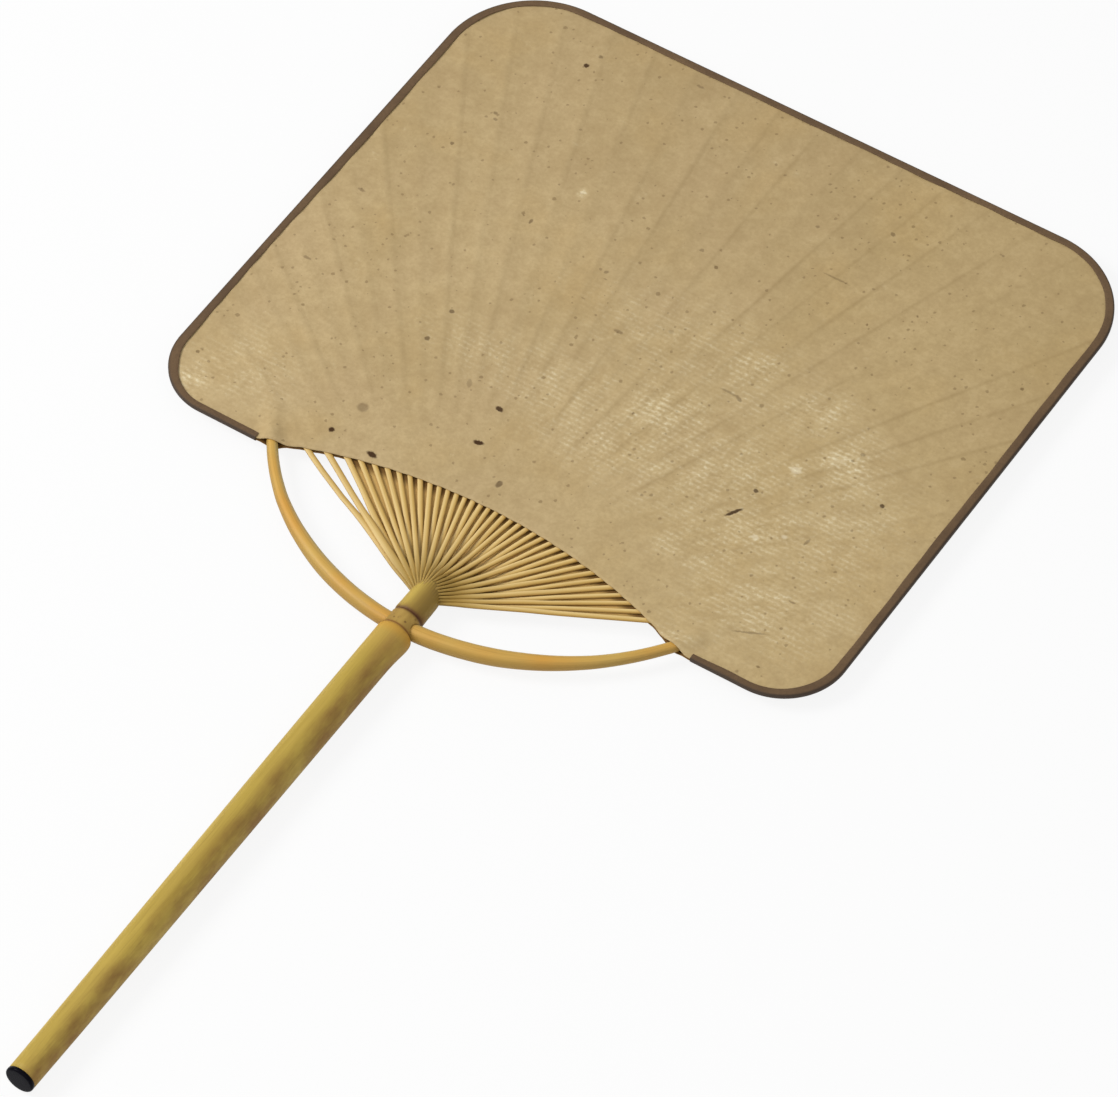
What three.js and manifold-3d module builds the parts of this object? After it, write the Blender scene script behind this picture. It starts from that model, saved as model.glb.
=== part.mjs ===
// A flat paper fan with a round bamboo handle, in millimetres.
// X runs across the fan, Y from the butt of the handle to the head and Z out of the front face.
// One length of bamboo is both the handle and the 36 ribs: above its node the wall is split,
// and the ribs from the front and the back half lie side by side in one plane.
// A bent bamboo bow through the node holds the ribs spread, a thread is woven between them,
// and two sheets of paper with a folded strip round their edge cover the whole head.

import * as THREE from 'three';
import { mergeVertices } from 'three/addons/utils/BufferGeometryUtils.js';
import Module from 'manifold-3d';

const wasm = await Module();
wasm.setup();

// Handle and node, from the butt upwards.
const plugHeadLength = 1.35;
const handleLength = 193.05;
const bandLength = 6.8;
const neckLength = 9.1;
const buttRadius = 4.75;
const handleRadius = 5.66;
const shoulderLength = 1.6;
const bandRadius = 5.1;
const grooveWidth = 1.1;
const grooveDepth = 0.4;
const neckRadius = 4.95;
const boreRadius = 2.6;
const septumThickness = 4.5;
const stickClearance = 0.3;

// Head, between the outer faces of its bound edge.
const apexSink = 1.8;
const headRise = 25.6;
const headHeight = 205.9;
const headHalfWidth = 121.3;
const topCornerRadius = 32.5;
const footCornerRadius = 21.7;

// Ribs.
const ribHalfCount = 18;
const ribWall = 1.5;
const ribWidth = 1.6;
const ribThickness = 0.6;
const kerf = 0.12;
const rootSink = 1.4;
const exitRadius = 5.4;
const twistEnd = 18;
const settleRadius = 34;
const lapOffset = 0.36;
const lapEnd = 30;
const lapRun = 12;
const settlePower = 2.2;
const tipRibGap = 4.55;
const fanSkewAngles = [1.9, 4.4, 2.7];

// Bow.
const bowRadius = 2.75;
const bowNeckRadius = 1.8;
const bowTipRadius = 1.15;
const bowTipInset = 1;
const bowTuckRun = 5.5;
const bowTipRise = 9.8;
const bowHoleHeight = 3.2;
const bowHoleClearance = 0.28;
const bowCurveShares = [0.805, -0.021, 0.216];
const bowThinningShare = 0.35;

// Thread.
const threadRadius = 0.1;
const threadSlip = 0.03;
const threadRise = 19.9;
const threadTieRise = 6.9;
const tieInset = 2.6;
const tieTurns = 2;
const tiePitch = 0.45;
const tieClearance = 0.15;

// Papers and edge strip.
const paperThickness = 0.2;
const bindThickness = 0.2;
const pasteSlip = 0.03;
const bindFace = 3;
const bindRun = 20.1;
const frontEdgeRise = 15.9;
const frontShoulderRise = 4.6;
const frontShoulderInset = 8.5;
const frontEndRise = 1;
const frontEndRun = 8.5;
const backLobeRadius = 12.5;
const backLobeSlip = 0.45;
const tentHeight = 1.75;
const tentHalfWidth = 5;
const tentRun = 12.5;
const tentSink = 0.02;

const overrun = 3;

// Places worked out from the sizes above.
const rimY = plugHeadLength + handleLength;
const grooveY = rimY + bandLength;
const splitY = grooveY + neckLength;
const apexY = splitY - apexSink;
const footY = apexY + headRise;
const topY = footY + headHeight;
const septumY = rimY - septumThickness;
const ribCount = 2 * ribHalfCount;
const rootRadius = neckRadius - ribWall / 2;
const threadLift = ribThickness / 2 + threadSlip + threadRadius;
const paperInner = threadLift + threadRadius + threadSlip;
const paperOuter = paperInner + paperThickness;
const bindInner = paperOuter + pasteSlip;
const bindOuter = bindInner + bindThickness;
const paperInset = bindThickness + pasteSlip;
const bindEnd = headHalfWidth - footCornerRadius - bindRun;
const bowHoleY = rimY + bowHoleHeight;
const bowHalfSpan = bindEnd - bowTipInset;
const bowTipY = footY + bowTipRise;
const bowRise = bowTipY - bowHoleY;
const bowEdgeX = bowHalfSpan - bowTuckRun;
const frontShoulder = bowEdgeX - frontShoulderInset;
const frontEndBend = bindEnd - frontEndRun;

// The outermost ribs pass the bow's tips at a set distance.
const tipReach = Math.hypot(bowHalfSpan, bowTipY - apexY);
const fanHalfAngle = THREE.MathUtils.radToDeg(
  Math.asin(bowHalfSpan / tipReach) - Math.asin(tipRibGap / tipReach));

// Helpers.

const toSolid = (geometry) => {
  const bare = geometry.clone();
  bare.deleteAttribute('normal');
  bare.deleteAttribute('uv');
  const welded = mergeVertices(bare);
  return new wasm.Manifold(new wasm.Mesh({
    numProp: 3,
    vertProperties: new Float32Array(welded.attributes.position.array),
    triVerts: new Uint32Array(welded.index.array),
  }));
};

const toGeometry = (solid) => {
  const mesh = solid.getMesh();
  const geometry = new THREE.BufferGeometry();
  geometry.setAttribute('position', new THREE.BufferAttribute(mesh.vertProperties, mesh.numProp));
  geometry.setIndex(new THREE.BufferAttribute(mesh.triVerts, 1));
  geometry.computeVertexNormals();
  return geometry;
};

// A closed body through a row of sections, each a ring of points in the same order.
const loft = (sections) => {
  const count = sections[0].length;
  const positions = [];
  const indices = [];
  for (const section of sections) {
    for (const point of section) positions.push(...point.toArray());
  }
  for (let s = 0; s < sections.length - 1; s++) {
    for (let i = 0; i < count; i++) {
      const a = s * count + i;
      const b = s * count + (i + 1) % count;
      indices.push(a, b, b + count, a, b + count, a + count);
    }
  }
  const caps = [sections[0], sections[sections.length - 1]];
  caps.forEach((section, which) => {
    const centre = section.reduce((sum, point) => sum.add(point), new THREE.Vector3());
    centre.divideScalar(count);
    const middle = positions.length / 3;
    positions.push(...centre.toArray());
    const first = which === 0 ? 0 : (sections.length - 1) * count;
    for (let i = 0; i < count; i++) {
      const a = first + i;
      const b = first + (i + 1) % count;
      indices.push(...(which === 0 ? [b, a, middle] : [a, b, middle]));
    }
  });
  const corner = (i) => new THREE.Vector3().fromArray(positions, 3 * indices[i]);
  let volume = 0;
  for (let i = 0; i < indices.length; i += 3) {
    volume += corner(i).dot(corner(i + 1).cross(corner(i + 2)));
  }
  if (volume < 0) indices.reverse();
  const geometry = new THREE.BufferGeometry();
  geometry.setAttribute('position', new THREE.Float32BufferAttribute(positions, 3));
  geometry.setIndex(indices);
  return geometry;
};

// A lathed body whose axis is the fan's Y axis.
const turned = (profile, segments) => new THREE.LatheGeometry(
  profile.map(([radius, y]) => new THREE.Vector2(radius, y)), segments);

const slab = (shape, bottom, top) => {
  const geometry = new THREE.ExtrudeGeometry(
    shape, { depth: top - bottom, bevelEnabled: false, curveSegments: 10 });
  return geometry.translate(0, 0, bottom);
};

// Bow: its centre line, thickness and body.

const bowPoint = (x) => {
  const q = (x / bowHalfSpan) ** 2;
  const [second, fourth, sixth] = bowCurveShares;
  return new THREE.Vector3(x, bowHoleY + bowRise * q * (second + q * (fourth + q * sixth)), 0);
};

const bowDirection = (x) => {
  const step = bowHalfSpan / 1000;
  return bowPoint(x + step).sub(bowPoint(x - step)).normalize();
};

// Full thickness in the middle, thinned by knife from a third of the way out to the tip.
const bowRadiusAt = (x) => {
  const reach = Math.abs(x) / bowEdgeX;
  const thinned = THREE.MathUtils.smoothstep(reach, bowThinningShare, 1);
  const beyond = Math.max(0, (Math.abs(x) - bowEdgeX) / bowTuckRun);
  return THREE.MathUtils.lerp(bowRadius, bowNeckRadius, thinned)
    + (bowTipRadius - bowNeckRadius) * beyond;
};

const bowSides = 14;
const bowSteps = 32;
const bowSections = Array.from({ length: bowSteps + 1 }, (_, step) => {
  const x = bowHalfSpan * Math.sin(Math.PI * (step / bowSteps - 0.5));
  const centre = bowPoint(x);
  const along = bowDirection(x);
  const across = new THREE.Vector3(-along.y, along.x, 0);
  return Array.from({ length: bowSides }, (_, side) => {
    const turn = 2 * Math.PI * side / bowSides;
    return centre.clone()
      .addScaledVector(across, Math.cos(turn) * bowRadiusAt(x))
      .add(new THREE.Vector3(0, 0, Math.sin(turn) * bowRadiusAt(x)));
  });
});
const bowGeometry = loft(bowSections);

// Ribs: where each one leaves the neck, runs and ends.

// Signed distance to the head's rounded outline, negative inside.
const outlineDistance = (x, y) => {
  const middleY = footY + headHeight / 2;
  const radius = y > middleY ? topCornerRadius : footCornerRadius;
  const dx = Math.abs(x) - headHalfWidth + radius;
  const dy = Math.abs(y - middleY) - headHeight / 2 + radius;
  return Math.hypot(Math.max(dx, 0), Math.max(dy, 0)) + Math.min(Math.max(dx, dy), 0) - radius;
};

// The fan's spacing is not quite even: it was spread by hand.
const ribAngle = (index) => {
  const u = (2 * index - ribCount + 1) / (ribCount - 1);
  const [shift, skew, bulge] = fanSkewAngles;
  return THREE.MathUtils.degToRad(fanHalfAngle * u + (1 - u * u) * (shift + u * (skew + u * bulge)));
};

const ribReach = (angle) => {
  const inset = bindThickness + stickClearance + ribWidth / 2;
  let inner = exitRadius;
  let outer = headHalfWidth + headHeight;
  for (let pass = 0; pass < 40; pass++) {
    const middle = (inner + outer) / 2;
    const distance = outlineDistance(middle * Math.sin(angle), apexY + middle * Math.cos(angle));
    if (distance < -inset) inner = middle;
    else outer = middle;
  }
  return inner;
};

// Height over the middle plane of a rib that leaves the neck at a given height.
const ribLift = (startLift, radius) => {
  const run = THREE.MathUtils.clamp((settleRadius - radius) / (settleRadius - exitRadius), 0, 1);
  return (startLift - lapOffset) * run ** settlePower
    + lapOffset * (1 - THREE.MathUtils.smoothstep(radius, lapEnd, lapEnd + lapRun));
};

const ribSections = (index) => {
  const side = index % 2 === 1 ? 1 : -1;
  const place = Math.floor(index / 2);
  const ringAngle = Math.PI * ((place + 0.5) / ribHalfCount - 0.5);
  const angle = ribAngle(index);
  const direction = new THREE.Vector3(Math.sin(angle), Math.cos(angle), 0);
  const root = new THREE.Vector3(Math.sin(ringAngle), 0, side * Math.cos(ringAngle));
  const startX = rootRadius * root.x;
  const startLift = rootRadius * Math.abs(root.z);

  const lineAt = (radius) => new THREE.Vector3(0, apexY, 0).addScaledVector(direction, radius);
  const shift = startX - lineAt(exitRadius).x;
  const flatEnd = lapEnd + lapRun;
  const stations = 8;
  const radii = Array.from({ length: stations + 1 }, (_, station) =>
    exitRadius + (flatEnd - exitRadius) * (station / stations) ** 1.4);
  radii.push(ribReach(angle));

  const centres = radii.map((radius) => {
    const point = lineAt(radius);
    point.x += shift * (1 - THREE.MathUtils.smoothstep(radius, exitRadius, twistEnd));
    point.z = side * ribLift(startLift, radius);
    return point;
  });
  const rootCentre = new THREE.Vector3(startX, splitY - rootSink, side * startLift);
  centres.unshift(rootCentre);
  radii.unshift(exitRadius);

  const outward = new THREE.Vector3(Math.cos(angle), -Math.sin(angle), 0);
  if (startX < 0) outward.negate();
  const pitch = 2 * Math.PI / ribCount;
  return centres.map((centre, step) => {
    const before = centres[Math.max(step - 1, 0)];
    const after = centres[Math.min(step + 1, centres.length - 1)];
    const along = after.clone().sub(before).normalize();
    const turn = THREE.MathUtils.smoothstep(radii[step], exitRadius, twistEnd);
    const wide = root.clone().lerp(outward, turn);
    wide.addScaledVector(along, -wide.dot(along)).normalize();
    const thick = new THREE.Vector3().crossVectors(along, wide);
    const halfWide = THREE.MathUtils.lerp(ribWall, ribWidth, turn) / 2;
    const skinSide = THREE.MathUtils.lerp(pitch * neckRadius - kerf, ribThickness, turn) / 2;
    const pithSide = THREE.MathUtils.lerp(
      pitch * (neckRadius - ribWall) - kerf, ribThickness, turn) / 2;
    const corner = (w, t) => centre.clone().addScaledVector(wide, w).addScaledVector(thick, t);
    return [
      corner(halfWide, -skinSide),
      corner(halfWide, skinSide),
      corner(-halfWide, pithSide),
      corner(-halfWide, -pithSide),
    ];
  });
};

// Culm: the turned handle, node and neck with the ribs joined on.

const culmProfile = [
  [0, septumY],
  [boreRadius, septumY],
  [boreRadius, plugHeadLength],
  [buttRadius, plugHeadLength],
  [handleRadius, rimY - shoulderLength],
  [handleRadius - grooveDepth / 2, rimY - shoulderLength / 3],
  [bandRadius, rimY],
  [bandRadius - grooveDepth / 4, rimY + bandLength / 2],
  [bandRadius, grooveY - grooveWidth / 2],
  [bandRadius - grooveDepth, grooveY - grooveWidth / 4],
  [bandRadius - grooveDepth, grooveY + grooveWidth / 4],
  [bandRadius, grooveY + grooveWidth / 2],
  [neckRadius, grooveY + neckLength / 2],
  [neckRadius, splitY],
  [0, splitY],
];
const bowHole = new THREE.CylinderGeometry(
  bowRadius + bowHoleClearance, bowRadius + bowHoleClearance, 2 * (bandRadius + overrun), 24);
bowHole.rotateZ(Math.PI / 2);
bowHole.translate(0, bowHoleY, 0);

let culmSolid = toSolid(turned(culmProfile, 36)).subtract(toSolid(bowHole));
for (let index = 0; index < ribCount; index++) {
  culmSolid = culmSolid.add(toSolid(loft(ribSections(index))));
}

// Stick that fills the bore, with the lacquered head that closes the butt.

const headRound = plugHeadLength / 2;
const plugProfile = [
  [0, 0],
  [buttRadius - headRound, 0],
  [buttRadius - headRound * 0.3, headRound * 0.3],
  [buttRadius, headRound],
  [buttRadius, plugHeadLength],
  [boreRadius - stickClearance, plugHeadLength],
  [boreRadius - stickClearance, septumY - stickClearance],
  [0, septumY - stickClearance],
];

// Outlines of the head.

// Walks the bound edge from its end on the right, round the head, to its end on the left.
const traceEdge = (shape, inset) => {
  const halfWidth = headHalfWidth - inset;
  const foot = footY + inset;
  const top = topY - inset;
  const footRadius = footCornerRadius - inset;
  const topRadius = topCornerRadius - inset;
  shape.lineTo(halfWidth - footRadius, foot);
  shape.absarc(halfWidth - footRadius, foot + footRadius, footRadius, -Math.PI / 2, 0);
  shape.lineTo(halfWidth, top - topRadius);
  shape.absarc(halfWidth - topRadius, top - topRadius, topRadius, 0, Math.PI / 2);
  shape.lineTo(topRadius - halfWidth, top);
  shape.absarc(topRadius - halfWidth, top - topRadius, topRadius, Math.PI / 2, Math.PI);
  shape.lineTo(-halfWidth, foot + footRadius);
  shape.absarc(footRadius - halfWidth, foot + footRadius, footRadius, Math.PI, 1.5 * Math.PI);
};

const headOutline = (inset) => {
  const shape = new THREE.Shape();
  shape.moveTo(0, footY + inset);
  traceEdge(shape, inset);
  shape.closePath();
  return shape;
};

// The front sheet's free edge: a shallow hollow arc between two shoulders over the bow's tips.
const freeEdgeRise = frontEdgeRise - frontShoulderRise;
const freeEdgeRadius = (frontShoulder ** 2 + freeEdgeRise ** 2) / (2 * freeEdgeRise);
const freeEdgeY = footY + frontEdgeRise - freeEdgeRadius;
const freeEdgeAngle = Math.asin(frontShoulder / freeEdgeRadius);

const freeEnd = footY + paperInset;
const shoulderY = footY + frontShoulderRise;

const paperOutline = (traceFreeEdge) => {
  const shape = new THREE.Shape();
  shape.moveTo(bindEnd, freeEnd);
  traceEdge(shape, paperInset);
  shape.lineTo(-bindEnd, freeEnd);
  shape.quadraticCurveTo(-frontEndBend, freeEnd + frontEndRise, -frontShoulder, shoulderY);
  traceFreeEdge(shape);
  shape.quadraticCurveTo(frontEndBend, freeEnd + frontEndRise, bindEnd, freeEnd);
  return shape;
};

const up = Math.PI / 2;
const frontOutline = paperOutline((shape) => {
  shape.absarc(0, freeEdgeY, freeEdgeRadius, up + freeEdgeAngle, up - freeEdgeAngle, true);
});

// The back sheet reaches lower, in a lobe round the neck from the third rib to the last.
// It is drawn as seen from behind, so the last rib is on its left.
const lobeLeft = ribAngle(ribCount - 1);
const lobeRight = -ribAngle(2);
const lobeDrop = apexY - freeEdgeY;
const lobeAlong = lobeDrop * Math.cos(lobeRight);
const lobeSide = Math.sqrt(lobeAlong ** 2 - lobeDrop ** 2 + freeEdgeRadius ** 2) - lobeAlong;
const lobeMeet = Math.asin(lobeSide * Math.sin(lobeRight) / freeEdgeRadius);
const backOutline = paperOutline((shape) => {
  shape.absarc(0, apexY, backLobeRadius, up + lobeLeft, up - lobeRight, true);
  shape.absarc(0, freeEdgeY, freeEdgeRadius, up - lobeMeet, up - freeEdgeAngle, true);
});

// Sheets: a blank that follows the ribs, raised over the bow's tips, cut to outline.

const blankRadius = Math.hypot(headHalfWidth, topY - apexY) + overrun;
const blankRingShares = [0, 0.33, 0.4, 0.48, 0.56, 0.64, 0.71, 0.79, 0.88, 1];
const blankProfile = (lift) => {
  const radii = blankRingShares.map((share) => share * (lapEnd + lapRun));
  radii.push(blankRadius);
  const low = radii.map((radius) => [radius, paperInner + lift(Math.max(radius, exitRadius * 2))]);
  const high = low.map(([radius, z]) => [radius, z + paperThickness]).reverse();
  return [...low, ...high];
};

// A ridge over one tip of the bow, standing on a base height.
const tent = (sign, base, rise) => {
  const steps = 8;
  const across = 10;
  const start = bowEdgeX - overrun;
  const sections = [];
  for (let step = 0; step <= steps; step++) {
    const x = start + (overrun + tentRun) * step / steps;
    const along = bowDirection(x);
    const fade = Math.cos(Math.PI / 2 * Math.max(0, (x - bowEdgeX) / tentRun)) ** 2;
    const ring = [];
    for (let i = 0; i <= across; i++) {
      const share = 2 * i / across - 1;
      const offset = tentHalfWidth * share;
      const height = rise + tentHeight * fade * Math.cos(Math.PI / 2 * share) ** 2;
      const centre = bowPoint(x);
      ring.push(new THREE.Vector3(
        sign * (centre.x - along.y * offset), centre.y + along.x * offset, height));
    }
    const last = ring[ring.length - 1];
    const first = ring[0];
    ring.push(new THREE.Vector3(last.x, last.y, base), new THREE.Vector3(first.x, first.y, base));
    sections.push(ring);
  }
  return toSolid(loft(sections));
};

const sheet = (outline, lift) => {
  const blank = turned(blankProfile(lift), 48);
  blank.rotateX(Math.PI / 2);
  blank.translate(0, apexY, 0);
  let solid = toSolid(blank);
  for (const sign of [-1, 1]) {
    solid = solid.add(tent(sign, paperInner + paperThickness / 2, paperOuter - tentSink));
  }
  for (const sign of [-1, 1]) {
    solid = solid.subtract(tent(sign, paperInner - overrun, paperInner - tentSink));
  }
  solid = solid.intersect(toSolid(slab(outline, 0, paperOuter + neckRadius)));
  return toGeometry(solid);
};

const frontGeometry = sheet(frontOutline, () => 0);
// Near the neck the ribs still stand on edge, so the back sheet keeps a little further off.
const backGeometry = sheet(backOutline, (radius) => ribLift(rootRadius, radius)
  + backLobeSlip * (1 - THREE.MathUtils.smoothstep(radius, backLobeRadius, lapEnd)));
backGeometry.rotateY(Math.PI);

// Edge strip: a channel folded round both sheets, open between the bow's tips.

const channel = (inset, half) => toSolid(slab(headOutline(inset), -half, half));
const gapCut = new THREE.BoxGeometry(2 * bindEnd, 2 * footCornerRadius, 2 * overrun);
gapCut.translate(0, footY, 0);
const bindSolid = channel(0, bindOuter)
  .subtract(channel(bindFace, overrun))
  .subtract(channel(bindThickness, bindInner))
  .subtract(toSolid(gapCut));

// Thread: tied round one tip of the bow, woven through the ribs, tied round the other.

const tieX = bowHalfSpan - tieInset;
const tieDirection = bowDirection(tieX);
const tieRadius = bowRadiusAt(tieX) + threadRadius + tieClearance;
const tieY = footY + threadTieRise;
const weaveRise = threadRise - threadTieRise;
const weaveRadius = (tieX ** 2 + weaveRise ** 2) / (2 * weaveRise);
const weaveY = tieY + weaveRise - weaveRadius;

// Turns round one tip of the bow, from its outer end to the side that faces the ribs.
const tie = (sign) => {
  const stepsPerTurn = 12;
  const steps = tieTurns * stepsPerTurn;
  const across = new THREE.Vector3(-tieDirection.y, tieDirection.x, 0);
  return Array.from({ length: steps + 1 }, (_, step) => {
    const turn = 2 * Math.PI * (step - steps) / stepsPerTurn;
    const point = bowPoint(tieX);
    point.addScaledVector(tieDirection, tiePitch * (steps - step) / stepsPerTurn);
    point.addScaledVector(across, tieRadius * Math.cos(turn));
    point.z += tieRadius * Math.sin(turn);
    point.x *= sign;
    return point;
  });
};

const threadPoints = tie(-1);
for (let index = 0; index < ribCount; index++) {
  const angle = ribAngle(index);
  const drop = apexY - weaveY;
  const along = drop * Math.cos(angle);
  const radius = Math.sqrt(along ** 2 - drop ** 2 + weaveRadius ** 2) - along;
  const crossing = new THREE.Vector3(radius * Math.sin(angle), apexY + radius * Math.cos(angle), 0);
  const heading = new THREE.Vector3(crossing.y - weaveY, -crossing.x, 0).normalize();
  const square = heading.x * Math.cos(angle) - heading.y * Math.sin(angle);
  const halfPass = (ribWidth / 2 + threadRadius) / square;
  const lift = index % 2 === 0 ? threadLift : -threadLift;
  for (const sign of [-1, 1]) {
    const point = crossing.clone().addScaledVector(heading, sign * halfPass);
    point.z = lift;
    threadPoints.push(point);
  }
}
threadPoints.push(...tie(1).reverse());

// A path of straight stretches that is walked from point to point.
class PointPath extends THREE.Curve {
  constructor(points) {
    super();
    this.points = points;
  }
  getPoint(t, target = new THREE.Vector3()) {
    const last = this.points.length - 1;
    const place = THREE.MathUtils.clamp(t, 0, 1) * last;
    const index = Math.min(Math.floor(place), last - 1);
    return target.lerpVectors(this.points[index], this.points[index + 1], place - index);
  }
  getUtoTmapping(u) {
    return u;
  }
}

const threadSides = 5;
const threadSection = new THREE.Shape(Array.from({ length: threadSides }, (_, side) => {
  const turn = 2 * Math.PI * side / threadSides;
  return new THREE.Vector2(threadRadius * Math.cos(turn), threadRadius * Math.sin(turn));
}));
const threadGeometry = new THREE.ExtrudeGeometry(threadSection, {
  steps: threadPoints.length - 1,
  extrudePath: new PointPath(threadPoints),
});

// Assembly: the fan lies on its back, centred over the place it lies on.

const finish = (color, roughness) => new THREE.MeshStandardMaterial({
  color, roughness, metalness: 0,
});

const fan = new THREE.Group();
const addPiece = (name, geometry, material) => {
  const mesh = new THREE.Mesh(geometry, material);
  mesh.name = name;
  fan.add(mesh);
};
addPiece('split_culm', toGeometry(culmSolid), finish(0xc0a058, 0.45));
addPiece('handle_plug', turned(plugProfile, 36), finish(0x17130f, 0.25));
addPiece('bow', bowGeometry, finish(0xd2a860, 0.4));
addPiece('lacing_thread', threadGeometry, finish(0xd8cdb0, 0.9));
addPiece('front_paper', frontGeometry, finish(0xbea578, 0.8));
addPiece('back_paper', backGeometry, finish(0x9c7d56, 0.85));
addPiece('edge_binding', toGeometry(bindSolid), finish(0x5f4632, 0.7));
fan.position.set(0, -topY / 2, handleRadius);

export default fan;
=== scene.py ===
# %% [markdown]
# A flat paper fan, dressed for the camera.
#
# The real fan is one length of bamboo: its lower part is the round handle, and above the node
# its wall is split into 36 ribs. A bent bow of bamboo spreads them, a thread is woven between
# them, and two sheets of handmade paper cover them, with a dark strip folded round the edge.
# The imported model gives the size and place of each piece. This script remakes the pieces
# that show, finely enough for a close look, and gives each one its finish.

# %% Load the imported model
import math

import bmesh
import bpy
import numpy as np
from mathutils import Matrix, Vector


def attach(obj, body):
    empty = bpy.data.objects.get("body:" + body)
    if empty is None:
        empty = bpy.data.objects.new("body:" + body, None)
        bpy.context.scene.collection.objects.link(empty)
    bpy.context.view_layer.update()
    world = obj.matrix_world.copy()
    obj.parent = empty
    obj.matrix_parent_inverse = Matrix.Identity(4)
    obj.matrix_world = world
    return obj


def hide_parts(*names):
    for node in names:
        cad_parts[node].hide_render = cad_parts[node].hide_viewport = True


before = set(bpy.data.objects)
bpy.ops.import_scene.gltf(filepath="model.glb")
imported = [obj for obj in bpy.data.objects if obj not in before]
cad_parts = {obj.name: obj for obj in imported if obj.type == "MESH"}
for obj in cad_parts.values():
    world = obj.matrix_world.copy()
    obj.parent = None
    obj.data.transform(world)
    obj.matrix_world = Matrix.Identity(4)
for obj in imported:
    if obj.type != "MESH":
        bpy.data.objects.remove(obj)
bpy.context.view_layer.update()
scene = bpy.context.scene
print("nodes:", sorted(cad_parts))

# %% [markdown]
# A maker measures a fan from the butt of its handle, in millimetres, on the plane in which
# the ribs lie. The model is in metres, centred on the place where the fan lies, so one
# small function turns the maker's numbers into the model's.

# %% The maker's millimetres
MM = 0.001
HANDLE_RADIUS = 5.66
LENGTH = 440.0


def place(x, y, z=0.0):
    """A point in the fan's plane, in millimetres from the butt, as a point in metres."""
    return Vector((x * MM, (y - LENGTH / 2) * MM, (z + HANDLE_RADIUS) * MM))


def place_all(points):
    """The same for an array of points."""
    shift = np.array([0.0, -LENGTH / 2, HANDLE_RADIUS])
    return (np.asarray(points, float) + shift) * MM


print("tip of the head at", tuple(round(v, 4) for v in place(0, LENGTH)))

# %% [markdown]
# The photograph looks down on the fan from about 51 degrees and from the right of its handle,
# through a long lens. A long lens far away keeps the head's sides almost parallel, as they
# are in the photograph. The camera has no shift and no depth of field.

# %% Camera
CAMERA_TURN, CAMERA_HEIGHT = math.radians(-32.95), math.radians(51.28)
CAMERA_DISTANCE, CAMERA_LENS = 2.2, 233.05


def show(name, data):
    """An object for a mesh, a camera or a lamp, put into the scene."""
    item = bpy.data.objects.new(name, data)
    scene.collection.objects.link(item)
    return item


def stand(name, data, position, direction):
    """A camera or a lamp at a position, turned to look along a direction."""
    item = show(name, data)
    item.location = position
    item.rotation_mode = "QUATERNION"
    item.rotation_quaternion = direction.to_track_quat("-Z", "Y")
    return item


level = math.cos(CAMERA_HEIGHT)
back = Vector((-math.sin(CAMERA_TURN) * level, -math.cos(CAMERA_TURN) * level, math.sin(CAMERA_HEIGHT)))
camera_data = bpy.data.cameras.new("photo_camera")
camera_data.lens, camera_data.sensor_width = CAMERA_LENS, 36
camera_data.clip_start, camera_data.clip_end = 0.1, 20
camera = stand("photo_camera", camera_data, place(23.62, 248.81) + back * CAMERA_DISTANCE, -back)
scene.camera = camera
scene.view_settings.view_transform = "Standard"
print("camera at", tuple(round(v, 3) for v in camera.location))

# %% [markdown]
# A finish is a small graph of nodes, and these helpers keep each one readable. They add a node
# with its settings and inputs, and link what is given as a socket. A socket knows its tree, so
# only the first nodes of a graph have to be told which tree they belong to.

# %% Helpers for trees: nodes and sums


def is_socket(value):
    """Whether a value is a node's socket, not a plain number or colour."""
    return isinstance(value, bpy.types.NodeSocket)


def fill(node, inputs):
    """A node with its inputs set to values or linked to sockets."""
    for name, value in inputs.items():
        if is_socket(value):
            node.id_data.links.new(value, node.inputs[name])
        else:
            node.inputs[name].default_value = value
    return node


def add(tree, kind, inputs=None, **settings):
    """A new node of a kind, with its settings and its inputs."""
    node = tree.nodes.new(kind)
    for name, value in settings.items():
        setattr(node, name, value)
    return fill(node, inputs or {})


def tree_of(values):
    """The tree of the first socket among some values."""
    return next(value.id_data for value in values if is_socket(value))


def maths(operation, *values):
    """The result of one sum on values or sockets."""
    return add(tree_of(values), "ShaderNodeMath", dict(enumerate(values)), operation=operation).outputs[0]


def times(product, *factors):
    """The product of two or more values or sockets."""
    for factor in factors:
        product = maths("MULTIPLY", product, factor)
    return product


def vector_of(x, y=0.0, z=0.0):
    """A vector from three values or sockets."""
    return add(tree_of((x, y, z)), "ShaderNodeCombineXYZ", {"X": x, "Y": y, "Z": z}).outputs[0]


def parts_of(vector):
    """The three parts of a vector."""
    return add(vector.id_data, "ShaderNodeSeparateXYZ", {"Vector": vector}).outputs


def vector_maths(operation, first, second=None, scale=None):
    """The result of one sum on vectors."""
    given = {0: first, 1: second, "Scale": scale}
    given = {name: value for name, value in given.items() if value is not None}
    node = add(first.id_data, "ShaderNodeVectorMath", given, operation=operation)
    return node.outputs["Value" if operation == "LENGTH" else "Vector"]


# %% Helpers for trees: patterns and colours


def ramp(value, *stops):
    """A grey that rises or falls evenly between two (place, level) stops."""
    node = add(value.id_data, "ShaderNodeValToRGB", {"Fac": value})
    for element, (position, level) in zip(node.color_ramp.elements, stops):
        element.position, element.color = position, (level, level, level, 1)
    return node.outputs["Color"]


def step_up(value, low, high, top=1.0):
    """A soft step from 0 to a top level between two values, however close they lie."""
    inputs = {"Value": value, "From Min": low, "From Max": high, "To Max": top}
    return add(value.id_data, "ShaderNodeMapRange", inputs, interpolation_type="SMOOTHSTEP").outputs[0]


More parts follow.
